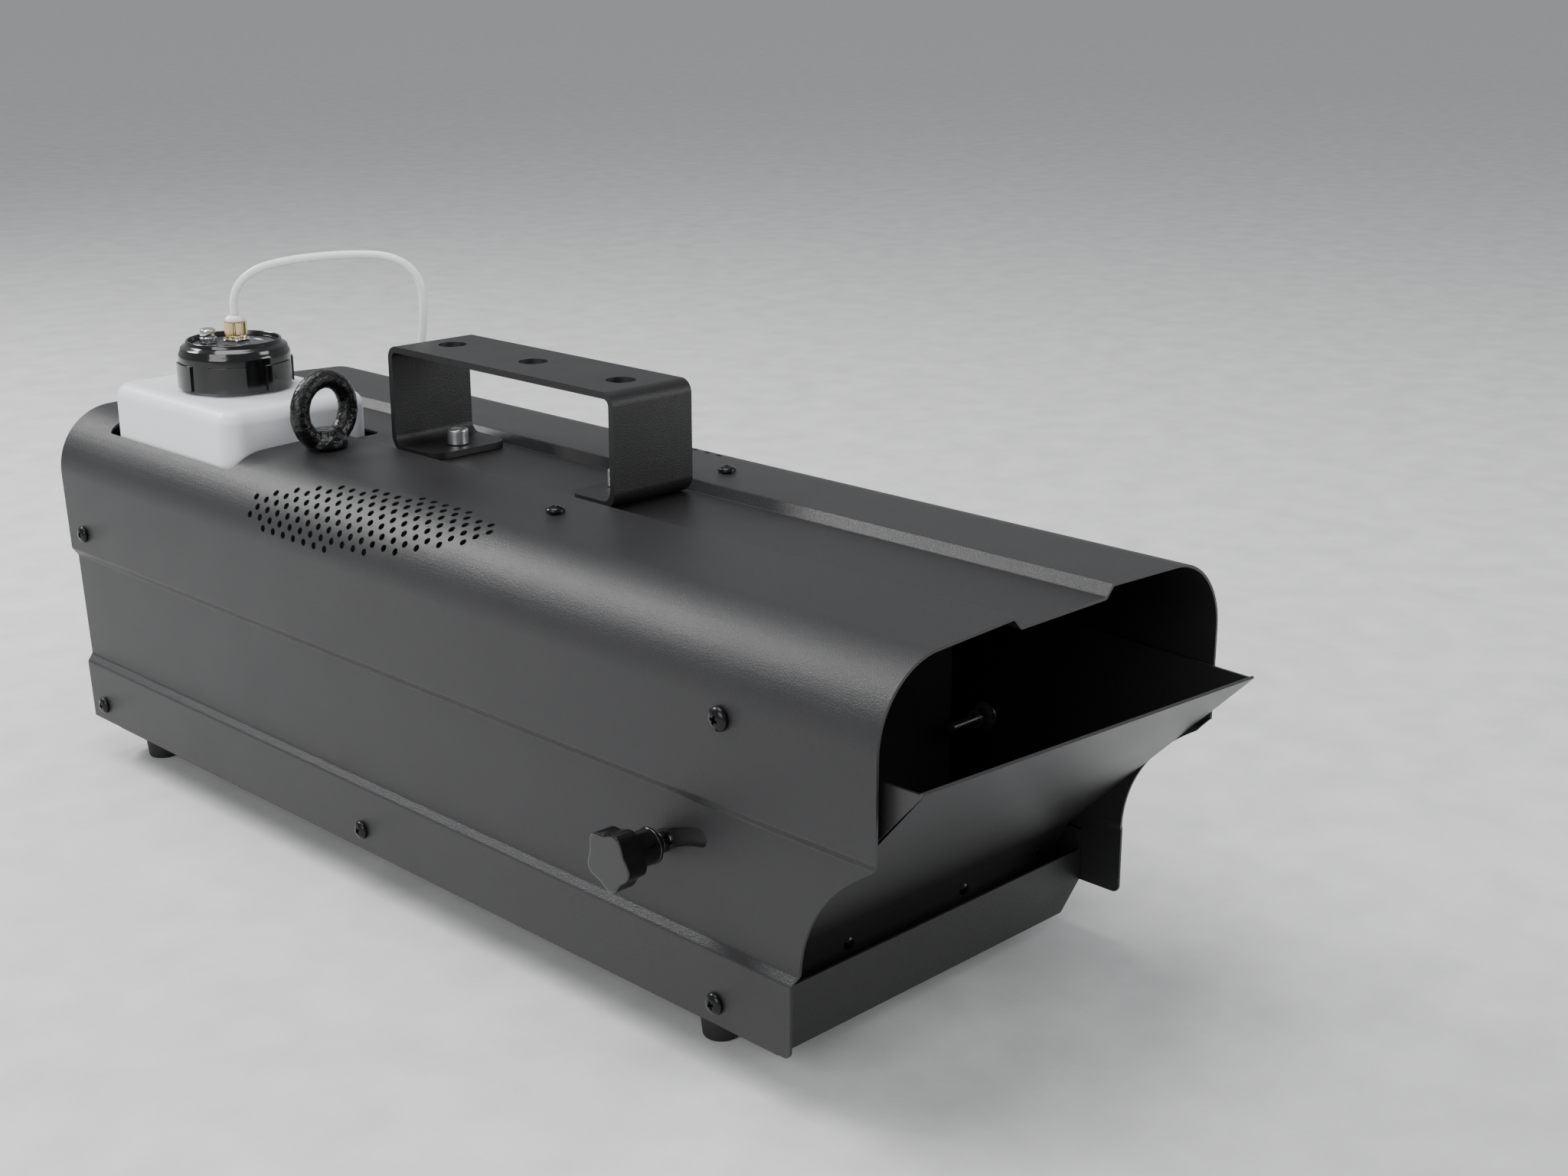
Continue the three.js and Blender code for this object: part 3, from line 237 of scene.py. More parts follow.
LOOKS = {
    "case_paint": dict(
        colour=(0.017, 0.017, 0.018), roughness=0.38, grain=(2000, 0.0003, 0.6),
        drift=0.07, wave=(45, 0.0004, 0.03), specular=0.42,
    ),
    "flap_paint": dict(
        colour=(0.02, 0.02, 0.021), roughness=0.33, grain=(2000, 0.0002, 0.5), drift=0.06,
    ),
    "bracket_paint": dict(
        colour=(0.01, 0.01, 0.011), roughness=0.42, grain=(1800, 0.0003, 0.6),
        specular=0.38,
    ),
    "inner_steel": dict(
        colour=(0.1, 0.095, 0.09), roughness=0.5, grain=(500, 0.0001, 0.3), drift=0.3,
    ),
    "forged_black": dict(
        colour=(0.002, 0.002, 0.002), roughness=0.16, grain=(900, 0.0006, 0.6), coat=0.1,
        drift=0.3, wave=(350, 0.001, 0.55), specular=0.4,
    ),
    "black_fasteners": dict(
        colour=(0.012, 0.012, 0.013), roughness=0.24, metal=0.6, grain=(900, 0.00006, 0.4),
        drift=0.3,
    ),
    "bright_steel": dict(
        colour=(0.68, 0.68, 0.69), roughness=0.26, metal=0.92, grain=(700, 0.00004, 0.4),
        drift=0.15,
    ),
    "chrome": dict(
        colour=(0.78, 0.78, 0.8), roughness=0.12, metal=1.0, grain=(300, 0.00003, 0.3),
        drift=0.15,
    ),
    "cast_aluminium": dict(
        colour=(0.42, 0.41, 0.4), roughness=0.5, metal=0.9, grain=(600, 0.0004, 0.6),
        drift=0.2,
    ),
    "brass": dict(
        colour=(0.8, 0.64, 0.36), roughness=0.2, metal=1.0, grain=(900, 0.00004, 0.3),
        drift=0.12,
    ),
    "feet_rubber": dict(
        colour=(0.012, 0.012, 0.012), roughness=0.72, grain=(900, 0.0002, 0.5), drift=0.25,
    ),
    "gloss_black_plastic": dict(
        colour=(0.004, 0.004, 0.0045), roughness=0.17, coat=0.3, grain=(180, 0.00008, 0.2),
        drift=0.3, specular=0.45,
    ),
    "matte_black_plastic": dict(
        colour=(0.018, 0.018, 0.019), roughness=0.48, grain=(1100, 0.0001, 0.45),
        drift=0.15,
    ),
    "insert_plastic": dict(colour=(0.06, 0.06, 0.065), roughness=0.28, grain=(500, 0.00006, 0.3)),
    "bottle_plastic": dict(
        colour=(0.8, 0.84, 0.88), roughness=0.34, grain=(240, 0.00015, 0.3),
        subsurface=0.45, drift=0.03, wave=(35, 0.0012, 0.2),
    ),
    "tube_plastic": dict(
        colour=(0.82, 0.83, 0.82), roughness=0.24, grain=(400, 0.00005, 0.2),
        subsurface=0.4, drift=0.04,
    ),
    "circuit_board": dict(
        colour=(0.02, 0.13, 0.05), roughness=0.35, grain=(1200, 0.00008, 0.4), drift=0.3,
    ),
    "red_plastic": dict(
        colour=(0.42, 0.012, 0.01), roughness=0.22, grain=(300, 0.00004, 0.2), coat=0.4,
    ),
    "display_glass": dict(
        colour=(0.006, 0.008, 0.012), roughness=0.1, grain=(120, 0.00002, 0.1), coat=0.8,
    ),
}
MATERIALS = {name: surface(name, **look) for name, look in LOOKS.items()}


# ------------------------------------------------------------------ shapes as (points, faces)
def prism(outline, low, high, plane):
    """A closed outline in one plane, extruded along the plane's normal from low to high."""
    put = {
        "yz": lambda a, b, c: (c, a, b),
        "xz": lambda a, b, c: (a, c, b),
        "xy": lambda a, b, c: (a, b, c),
    }[plane]
    n = len(outline)
    points = [put(a, b, low) for a, b in outline] + [put(a, b, high) for a, b in outline]
    faces = [tuple(range(n - 1, -1, -1)), tuple(range(n, 2 * n))]
    faces += [(i, (i + 1) % n, n + (i + 1) % n, n + i) for i in range(n)]
    return points, faces


def turned(profile, steps=48):
    """A profile of (radius, height) turned about Z. It starts and ends on the axis, or closes on itself."""
    closed = profile[0][0] > 0
    points, rings = [], []
    for r, h in profile:
        if r == 0:
            rings.append([len(points)] * steps)
            points.append((0, 0, h))
            continue
        rings.append(list(range(len(points), len(points) + steps)))
        for i in range(steps):
            angle = 2 * math.pi * i / steps
            points.append((r * math.cos(angle), r * math.sin(angle), h))
    faces = []
    for k in range(len(rings) - (0 if closed else 1)):
        low, high = rings[k], rings[(k + 1) % len(rings)]
        for i in range(steps):
            j = (i + 1) % steps
            corner = [low[i], low[j], high[j], high[i]]
            face = tuple(dict.fromkeys(corner))
            if len(face) > 2:
                faces.append(face)
    return points, faces


def box(low, high):
    (x0, y0, z0), (x1, y1, z1) = low, high
    return prism([(x0, y0), (x1, y0), (x1, y1), (x0, y1)], z0, z1, "xy")


def moved(shape, matrix):
    return [matrix @ Vector(point) for point in shape[0]], shape[1]


def shifted(shape, *offset):
    return moved(shape, Matrix.Translation(offset))


def joined(*shapes):
    points, faces = [], []
    for shape_points, shape_faces in shapes:
        start = len(points)
        points += list(shape_points)
        faces += [tuple(start + i for i in face) for face in shape_faces]
    return points, faces


def along_x(shape, side):
    """Turns a shape made along +Z so that it points along side * X."""
    return moved(shape, Matrix.Rotation(side * math.pi / 2, 4, "Y"))


def along_y(shape, side):
    """Turns a shape made along +Z so that it points along side * Y."""
    return moved(shape, Matrix.Rotation(-side * math.pi / 2, 4, "X"))


def arc(cx, cy, r, start, end, steps):
    angles = [math.radians(start + (end - start) * i / steps) for i in range(steps + 1)]
    return [(cx + r * math.cos(a), cy + r * math.sin(a)) for a in angles]


def rounded_rect(x0, y0, x1, y1, r, steps=6):
    return (arc(x1 - r, y0 + r, r, -90, 0, steps) + arc(x1 - r, y1 - r, r, 0, 90, steps)
            + arc(x0 + r, y1 - r, r, 90, 180, steps) + arc(x0 + r, y0 + r, r, 180, 270, steps))


def filleted(line, radius, steps=4):
    """An open line with every inner corner rounded to that radius."""
    out = [line[0]]
    for before, corner, after in zip(line, line[1:], line[2:]):
        a, b = Vector(before) - Vector(corner), Vector(after) - Vector(corner)
        half = a.angle(b) / 2
        reach = min(radius / math.tan(half), a.length * 0.45, b.length * 0.45)
        start = Vector(corner) + a.normalized() * reach
        end = Vector(corner) + b.normalized() * reach
        for i in range(steps + 1):
            t = i / steps
            out.append(tuple(start * (1 - t) ** 2 + Vector(corner) * 2 * t * (1 - t) + end * t ** 2))
    return out + [line[-1]]


def offset_line(line, distance):
    """The line moved sideways, to the right of its direction."""
    heading = [(Vector(b) - Vector(a)).normalized() for a, b in zip(line, line[1:])]
    out = []
    for i, point in enumerate(line):
        before, after = heading[max(i - 1, 0)], heading[min(i, len(heading) - 1)]
        scale = distance / (1 + before.dot(after))
        out.append((point[0] + (before[1] + after[1]) * scale, point[1] - (before[0] + after[0]) * scale))
    return out


def sheet_outline(line, thickness):
    return list(line) + offset_line(line, thickness)[::-1]


# ------------------------------------------------------------------ pieces
def new_object(name, shape, matrix=None):
    points = [row(matrix @ Vector(p) if matrix else p) for p in shape[0]]
    mesh = bpy.data.meshes.new(name)
    mesh.from_pydata(points, [], shape[1])
    tidy = bmesh.new()
    tidy.from_mesh(mesh)
    bmesh.ops.recalc_face_normals(tidy, faces=tidy.faces)
    tidy.to_mesh(mesh)
    tidy.free()
    thing = bpy.data.objects.new(name, mesh)
    bpy.context.scene.collection.objects.link(thing)
    return thing


def set_in(thing, matrix):
    """Moves a piece by a matrix written in the machine's own millimetres."""
    step = matrix.copy()
    step.translation = matrix.translation * MM
    thing.data.transform(Matrix.Translation(ORIGIN) @ step @ Matrix.Translation(-ORIGIN))


def bake_modifiers(thing):
    graph = bpy.context.evaluated_depsgraph_get()
    mesh = bpy.data.meshes.new_from_object(thing.evaluated_get(graph))
    thing.modifiers.clear()
    old, thing.data = thing.data, mesh
    bpy.data.meshes.remove(old)


def combine(thing, shapes, operation="DIFFERENCE"):
    """Cuts the shapes out of a piece, or adds them to it, one after the other."""
    tools = [new_object("tool", shape) for shape in shapes]
    for tool in tools:
        step = thing.modifiers.new("step", "BOOLEAN")
        step.operation = operation
        step.solver = "MANIFOLD"
        step.object = tool
    bake_modifiers(thing)
    for tool in tools:
        bpy.data.objects.remove(tool)
    return thing


def soften(thing, width=0.25, segments=2, angle=38):
    """Rounds the sharp edges a little, as real ones are, and shades the rest smooth."""
    if width:
        bevel = thing.modifiers.new("edges", "BEVEL")
        bevel.width = width * MM
        bevel.segments = segments
        bevel.limit_method = "ANGLE"
        bevel.angle_limit = math.radians(angle)
        bevel.use_clamp_overlap = True
        bake_modifiers(thing)
    thing.data.shade_smooth()
    thing.data.set_sharp_from_angle(angle=math.radians(angle))
    thing.modifiers.new("normals", "WEIGHTED_NORMAL").keep_sharp = True
    return thing


def dress(thing, body, slot, nodes=(), material=None):
    """Gives a piece the material named by its slot, or the one given, parents it to its body and hides the
    CAD nodes that it stands for.
    """
    thing.data.materials.clear()
    thing.data.materials.append(MATERIALS[material or slot])
    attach(thing, body)
    if nodes:
        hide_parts(*nodes)
    return thing


# ------------------------------------------------------------------ suction tube
TUBE_ROUTE = [
    (HOSE[0], HOSE[1], 215.9),
    (HOSE[0], HOSE[1], 222),
    (-47.3, 470.8, 228.5),
    (-44.2, 467, 234.2),
    (-38.6, 460.8, 238.9),
    (-30.5, 452.2, 241.9),
    (-22.2, 441.8, 243.9),
    (-13.2, 430.5, 245.2),
    (-4.4, 419.4, 245.6),
    (1.8, 411.4, 244.4),
    (7.1, 404.4, 240.3),
    (10.1, 400.2, 233.2),
    (10.8, 399.1, 224),
    (10.4, 399.4, 213),
    (9.1, 400.6, 200),
    (7, 402, 188),
    (5, 403.3, 177.5),
    (3.8, 404.1, 170),
    (GROMMET[0], GROMMET[1], 163.6),
]


def smooth_route(points, parts=6):
    """The points of a Catmull-Rom curve through the route."""
    line = [Vector(p) for p in points]
    ends = [line[0] * 2 - line[1], *line, line[-1] * 2 - line[-2]]
    out = []
    for a, b, c, d in zip(ends, ends[1:], ends[2:], ends[3:]):
        for i in range(parts):
            t = i / parts
            out.append(0.5 * (2 * b + (c - a) * t + (2 * a - 5 * b + 4 * c - d) * t ** 2
                              + (3 * b - a - 3 * c + d) * t ** 3))
    return out + [line[-1]]


def tube_skin(line, radius, around=20):
    """A round tube swept along a line, with flat ends."""
    side = Vector((1, 0, 0))
    rings = []
    for i, point in enumerate(line):
        heading = (line[min(i + 1, len(line) - 1)] - line[max(i - 1, 0)]).normalized()
        side = (side - heading * side.dot(heading)).normalized()
        other = heading.cross(side)
        rings.append([point + (side * math.cos(a) + other * math.sin(a)) * radius
                      for a in (2 * math.pi * k / around for k in range(around))])
    return lofted(rings)


def build_tube():
    line = smooth_route(TUBE_ROUTE)
    tube = new_object("suction_hose", tube_skin(line, 2.0))
    soften(tube, 0)
    tube.modifiers.clear()
    tube.data.materials.append(MATERIALS["tube_plastic"])
    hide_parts("suction_tube")
    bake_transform(tube)


# ------------------------------------------------------------------ cover
def bezier(a, b, c, d, steps):
    out = []
    for i in range(steps + 1):
        t = i / steps
        parts = ((1 - t) ** 3, 3 * t * (1 - t) ** 2, 3 * t ** 2 * (1 - t), t ** 3)
        out.append(tuple(sum(w * p[k] for w, p in zip(parts, (a, b, c, d))) for k in (0, 1)))
    return out


def cover_line():
    crown = SHOULDER_Z + SHOULDER_R
    side = [(-HALF, 0), (-HALF, STRIP_TOP), (-MID_HALF, MID_BOTTOM), (-MID_HALF, MID_TOP),
            (-HALF, PANEL_BOTTOM), (-HALF, SHOULDER_Z)]
    top = [(SHOULDER_R - HALF, crown), (-CHANNEL_X, CROWN_Z), (-FLOOR_X, FLOOR_Z), (0, FLOOR_Z)]
    left = filleted(side, 2.4)
    left += arc(SHOULDER_R - HALF, SHOULDER_Z, SHOULDER_R, 180, 90, 28)[1:-1]
    left += filleted(top, 1.4)[:-1]
    return left + [(-x, z) for x, z in reversed(left)]


def rear_edge(z):
    return REAR_Y + REAR_LEAN * z


def front_cut():
    sweep = bezier((STRIP_FRONT - 1.7, MID_BOTTOM), (STRIP_FRONT - 3.1, MID_BOTTOM + 24),
                   (23.5, MID_TOP - 12.7), (4.5, MID_TOP - 1.2), 24)
    corner = arc(STRIP_FRONT + 3, 3, 3, 270, 180, 6)
    return [(-5, -5), (STRIP_FRONT + 3, -5), *corner, (STRIP_FRONT, STRIP_TOP), *sweep, (0.3, PANEL_BOTTOM),
            (-5, PANEL_BOTTOM)]


def polar(degrees, r):
    angle = math.radians(degrees)
    return PIVOT[0] + r * math.cos(angle), PIVOT[1] + r * math.sin(angle)


def slot_outline():
    """The arc slot that the clamp stud slides along, round the pivot."""
    first, last = polar(SLOT_FROM, STUD_RADIUS), polar(SLOT_TO, STUD_RADIUS)
    return (arc(*PIVOT, STUD_RADIUS + SLOT_HALF, SLOT_FROM, SLOT_TO, 12)
            + arc(*last, SLOT_HALF, SLOT_TO, SLOT_TO + 180, 10)[1:]
            + arc(*PIVOT, STUD_RADIUS - SLOT_HALF, SLOT_TO, SLOT_FROM, 12)[1:]
            + arc(*first, SLOT_HALF, SLOT_FROM - 180, SLOT_FROM, 10)[1:-1])


def rod(r, low, high, steps=24):
    return turned([(0, low), (r, low), (r, high), (0, high)], steps)


def vent_holes(side):
    """The staggered field of round holes on a shoulder, each drilled square to the curved sheet."""
    shapes = []
    for i in range(VENTS["rows"]):
        climb = 6.3 + VENTS["row_step"] * i
        angle = (climb + 1.0) / SHOULDER_R
        for k in range(-VENTS["each_way"], VENTS["each_way"] + 1):
            along = (k + (i % 2) / 2) * VENTS["step"]
            middle = 25.5 - 0.14 * along
            reach = 17.5 - 0.2 * max(0, abs(along) - 30)
            if abs(along) > 84 or abs(climb - middle) > reach:
                continue
            drill = rod(VENTS["r"], SHOULDER_R - 3, SHOULDER_R + 2, 12)
            turn = Matrix.Rotation(side * (math.pi / 2 - angle), 4, "Y")
            y = VENTS["middle"] + VENTS["squeeze"] * along
            centre = Matrix.Translation((side * (HALF - SHOULDER_R), y, SHOULDER_Z))
            shapes.append(moved(drill, centre @ turn))
    return joined(*shapes)


SIDE_SCREWS = {"rear_upper": (546.9, 100.1), "rear_lower": (542.3, 8.6), "middle": (309.5, 9.1)}
HOOD_SCREW = (75.8, 123.5)
TOP_SCREW = (49.6, 228.3)


def side_hole(r, side, y, z):
    return shifted(along_x(rod(r, 80, 110), side), 0, y, z)


def build_cover():
    far = REAR_Y + 60
    cover = new_object("cover_case", prism(sheet_outline(cover_line(), SHEET), 0, REAR_Y + 30, "xz"))
    rear_cut = [(rear_edge(-5), -5), (far, -5), (far, 180), (rear_edge(180), 180)]
    slots = [prism(slot_outline(), side * 97 - 5, side * 97 + 5, "yz") for side in SIDES.values()]
    well = prism(rounded_rect(*WELL_RECT, 4), 130, 170, "xy")
    combine(cover, [prism(front_cut(), -110, 110, "yz"), prism(rear_cut, -110, 110, "yz"), well, *slots])
    soften(cover, 0.3)
    cover.modifiers.clear()
    holes = [shifted(rod(4.5, 150, 168), EYE[0], EYE[1], 0), shifted(rod(5.2, 150, 168), *GROMMET, 0)]
    holes += [shifted(rod(3.5, 150, 166), 0, y, 0) for y in BRACKET_SCREWS]
    for side in SIDES.values():
        holes += [side_hole(2.4, side, *place) for place in (*SIDE_SCREWS.values(), PIVOT)]
        holes += [side_hole(2.9, side, *HOOD_SCREW), shifted(rod(2.4, 150, 168), side * TOP_SCREW[0],
                                                             TOP_SCREW[1], 0)]
        holes.append(vent_holes(side))
    combine(cover, holes)
    soften(cover, 0)
    dress(cover, "chassis", "case_paint", ["cover_shell"])


# ------------------------------------------------------------------ base tray, feet
def build_tray():
    left = filleted([(-TRAY_HALF, 24), (-TRAY_HALF, 0.5), (-86.5, TRAY_BOTTOM), (0, TRAY_BOTTOM)], 2)[:-1]
    line = left + [(-x, z) for x, z in reversed(left)]
    tray = new_object("tray", prism(sheet_outline(line[::-1], SHEET), TRAY_FRONT,
                                    rear_edge(TRAY_BOTTOM) - 1, "xz"))
    plate = [(-TRAY_HALF, PLATE_TOP)] + left[1:]
    plate = plate + [(-x, z) for x, z in reversed(plate)]
    combine(tray, [prism(plate, TRAY_FRONT - 0.01, TRAY_FRONT + SHEET, "xz")], "UNION")
    places = (PIVOT, SIDE_SCREWS["rear_lower"], SIDE_SCREWS["middle"])
    combine(tray, [side_hole(2.4, side, *place) for side in SIDES.values() for place in places])
    soften(tray, 0.25)
    dress(tray, "chassis", "case_paint", ["base_tray"])


def build_feet():
    profile = [(0, 3.4), (3.0, 3.4), (3.2, 3.0), (3.2, 0.5), (3.7, 0.0), (6.2, 0.0), (7.1, 0.35),
               (7.5, 1.1), (8.3, 8.6), (8.5, 9.6), (8.2, 10.2), (0, 10.2)]
    for side_name, side in SIDES.items():
        for end, y in FOOT_YS.items():
            place = Matrix.Translation((side * FOOT_X, y, TRAY_BOTTOM - FOOT_HEIGHT))
            foot = new_object(f"rubber_foot_{end}_{side_name}", turned(profile), place)
            soften(foot, 0)
            dress(foot, "chassis", "feet_rubber", [f"foot_{end}_{side_name}"])
            upside_down = place @ Matrix.Translation((0, 0, 3.35)) @ Matrix.Rotation(math.pi, 4, "X")
            screw = new_object(f"foot_screw_{end}_{side_name}", pan_screw(2.9, 1.6, 1.2, 1), upside_down)
            soften(screw, 0)
            dress(screw, "chassis", "bright_steel")


# ------------------------------------------------------------------ fasteners
def pan_screw(head_r, head_h, shank_r, length):
    dome = [(head_r * math.cos(t), head_h * (0.28 + 0.72 * math.sin(t)))
            for t in (math.radians(15 * i) for i in range(6))]
    return turned([(0, -length), (shank_r, -length), (shank_r, 0), (head_r, 0), *dome, (0, head_h)], 40)


def cross_recess(size, top, turn):
    """The tapered cross that a screwdriver fits, at that height and turn."""
    arms = []
    for quarter in (0, 90):
        wide, narrow, arm = size * 0.5, size * 0.26, size * 0.13
        outline = [(-narrow, top - size * 0.42), (narrow, top - size * 0.42), (wide, top + 1),
                   (-wide, top + 1)]
        arms.append(moved(prism(outline, -arm, arm, "xz"), Matrix.Rotation(math.radians(turn + quarter), 4,
                                                                           "Z")))
    return arms


def build_screw(name, size, matrix, turn, node=None):
    head_r, head_h = size[:2]
    screw = new_object(name, pan_screw(*size))
    combine(screw, cross_recess(head_r * 0.95, head_h, turn))
    soften(screw, 0.12, 1)
    set_in(screw, matrix)
    return dress(screw, "chassis", "black_fasteners", [node] if node else [])


def build_case_screws():
    turn = 17
    for side_name, side in SIDES.items():
        tilt = Matrix.Rotation(side * math.pi / 2, 4, "Y")
        wanted = [(f"side_screw_{place}_{side_name}", (4.2, 2.6, 2, 6), at) for place,
                  at in SIDE_SCREWS.items()]
        wanted.append((f"hood_screw_{side_name}", (4.8, 3.2, 2.5, 7), HOOD_SCREW))
        wanted.append((f"pivot_screw_{side_name}", (4.4, 2.6, 2, 9), PIVOT))
        for node, size, (y, z) in wanted:
            turn += 37
            build_screw(f"{node}_head", size, Matrix.Translation((side * (HALF + 0.3), y, z)) @ tilt, turn,
                        node)
        place = Matrix.Translation((side * TOP_SCREW[0], TOP_SCREW[1], 162.1))
        build_screw(f"top_screw_{side_name}_head", (4.2, 2.4, 2, 6), place, turn + 20,
                    f"top_screw_{side_name}")


def build_bracket_screws():
    profile = [(0, -9), (3, -9), (3, 0), (4.8, 0), (5, 0.2), (5, 6.4), (4.8, 6.9), (4.4, 7.2), (0, 7.2)]
    for y, end in zip(BRACKET_SCREWS, ("front", "rear")):
        screw = new_object(f"socket_screw_{end}", turned(profile, 48))
        combine(screw, [turned([(0, 3.8), (2.9, 3.8), (2.9, 9), (0, 9)], 6)])
        soften(screw, 0.12, 1)
        set_in(screw, Matrix.Translation((0, y, FLOOR_Z + BRACKET["thick"] + 2 * GAP)))
        dress(screw, "chassis", "bright_steel", [f"bracket_screw_{end}"])


# ------------------------------------------------------------------ bracket and eye bolt
def build_bracket():
    half, thick, front, rear, top, length, r, low_r, corner_r = BRACKET.values()
    bottom = FLOOR_Z + GAP
    line = [(rear - length, bottom), *arc(rear - low_r, bottom + low_r, low_r, -90, 0, 10),
            *arc(rear - r, top - r, r, 0, 90, 10), *arc(front + r, top - r, r, 90, 180, 10),
            *arc(front + low_r, bottom + low_r, low_r, 180, 270, 10), (front + length, bottom)]
    bar = new_object("hanging_bar", prism(line + offset_line(line, -thick)[::-1], -half, half, "yz"))
    middle = (front + rear) / 2
    corners = []
    for y, way in ((rear - length, 1), (front + length, -1)):
        for side in SIDES.values():
            x, start = side * half, 0 if side > 0 else 180
            inner_x, inner_y = x - side * corner_r, y + way * corner_r
            rim = arc(inner_x, inner_y, corner_r, start, start - side * way * 90, 10)
            corner = [(inner_x, y - way * 3), (x + side * 3, y - way * 3), (x + side * 3, inner_y)]
            corners.append(prism(rim + corner, 150, 170, "xy"))
    combine(bar, corners)
    holes = [shifted(rod(6.6, 200, 212, 48), 0, middle + dy, 0) for dy in BRACKET_BORES]
    combine(bar, holes + [shifted(rod(3.4, 150, 165), 0, y, 0) for y in BRACKET_SCREWS])
    soften(bar, 0.35)
    dress(bar, "chassis", "bracket_paint", ["hanging_bracket"])


def forged_ring(ring_r, wire_top, wire_bottom, steps=64, around=24):
    """An upright ring whose wire is thicker at the bottom than at the top."""
    points, faces = [], []
    for i in range(steps):
        a = 2 * math.pi * i / steps
        wire = (wire_top + wire_bottom) / 2 + (wire_top - wire_bottom) / 2 * math.sin(a)
        for j in range(around):
            b = 2 * math.pi * j / around
            r = ring_r + wire * math.cos(b)
            points.append((r * math.cos(a), wire * 0.97 * math.sin(b), r * math.sin(a)))
            faces.append(tuple((m % steps) * around + n % around
                               for m, n in ((i, j), (i, j + 1), (i + 1, j + 1), (i + 1, j))))
    return points, faces


def build_eye_bolt():
    ring_r, wire_top, wire_bottom, height = EYE_RING.values()
    base = turned([(0, -10), (4, -10), (4, 0), (9.8, 0), (10.1, 0.6), (10, 3.6), (9.2, 4.8), (7.4, 6.4),
                   (6, 8.4), (0, 8.4)], 48)
    ring = new_object("lifting_eye", shifted(forged_ring(ring_r, wire_top, wire_bottom), 0, 0, height))
    bolt = combine(combine(ring, [box((-30, -30, -20), (30, 30, 0))]), [base], "UNION")
    remesh = bolt.modifiers.new("skin", "REMESH")
    remesh.mode = "VOXEL"
    remesh.voxel_size = 0.5 * MM
    smooth = bolt.modifiers.new("worn", "SMOOTH")
    smooth.factor, smooth.iterations = 0.5, 3
    clouds = bpy.data.textures.new("forging", "CLOUDS")
    clouds.noise_scale, clouds.noise_depth = 2.2 * MM, 2
    rough = bolt.modifiers.new("rough", "DISPLACE")
    rough.texture, rough.strength, rough.mid_level = clouds, 0.5 * MM, 0.5
    bake_modifiers(bolt)
    set_in(bolt, Matrix.Translation(EYE) @ Matrix.Rotation(math.radians(EYE_TURN), 4, "Z"))
    bolt.data.shade_smooth()
    dress(bolt, "chassis", "black_fasteners", ["eye_bolt"], "forged_black")


# ------------------------------------------------------------------ deflector flap
FLAP_HALF = 94.0
FLAP_OUT = FLAP_HALF + SHEET
LIP, BEND, FLAP_FOOT = (-18.1, 117.0), (66.0, 26.5), (72.6, 1.0)


def flap_line():
    slope = (LIP[1] - BEND[1]) / (BEND[0] - LIP[0])
    knee = (FLAP_FOOT[0], BEND[1] - (FLAP_FOOT[0] - BEND[0]) * slope)
    curve = [tuple(Vector(BEND) * (1 - t) ** 2 + Vector(knee) * 2 * t * (1 - t) + Vector((FLAP_FOOT[0],
                                                                                          11)) * t ** 2)
             for t in (i / 10 for i in range(11))]
    return [LIP, *curve, FLAP_FOOT]


def wing_outline():
    tail = filleted([(FLAP_FOOT[0] - 1.5 + 18, 50), (122.5, 58), (122.5, 72), (96, 104), (72, LIP[1]),
                     (40, LIP[1])], 5)
    return [LIP, BEND, (FLAP_FOOT[0] - 1.5, 16), *arc(*PIVOT, 9, 175, 350, 14), *tail[1:-1]]


def soften_some(thing, test, width, segments):
    """Rounds only the edges whose two ends pass the test, given in the machine's millimetres."""
    mesh = bmesh.new()
    mesh.from_mesh(thing.data)
    chosen = [edge for edge in mesh.edges if all(test((v.co - ORIGIN) / MM) for v in edge.verts)]
    bmesh.ops.bevel(mesh, geom=chosen, offset=width * MM, segments=segments, affect="EDGES", profile=0.5,
                    clamp_overlap=True)
    mesh.to_mesh(thing.data)
    mesh.free()


def twisted(v, way=1):
    """Turns each slice of the flap about the pivot, as it is clamped a little lower on its right.

    A way of -1 undoes the turn.
    """
    x, y, z = v
    angle = way * math.radians(FLAP_TWIST[0] + FLAP_TWIST[1] * x / FLAP_HALF)
    y, z = y - PIVOT[0], z - PIVOT[1]
    return Vector((x, PIVOT[0] + y * math.cos(angle) - z * math.sin(angle),
                   PIVOT[1] + y * math.sin(angle) + z * math.cos(angle)))


def on_fold(v):
    """On the outer edge where the flap's front turns into a wing."""
    v = twisted(v, -1)
    along = Vector((BEND[0] - LIP[0], BEND[1] - LIP[1])).normalized()
    away = Vector((v.y - LIP[0], v.z - LIP[1]))
    off_line = abs(along.x * away.y - along.y * away.x)
    return abs(abs(v.x) - FLAP_OUT) < 0.01 and off_line < 0.01 and v.z > BEND[1] - 0.1


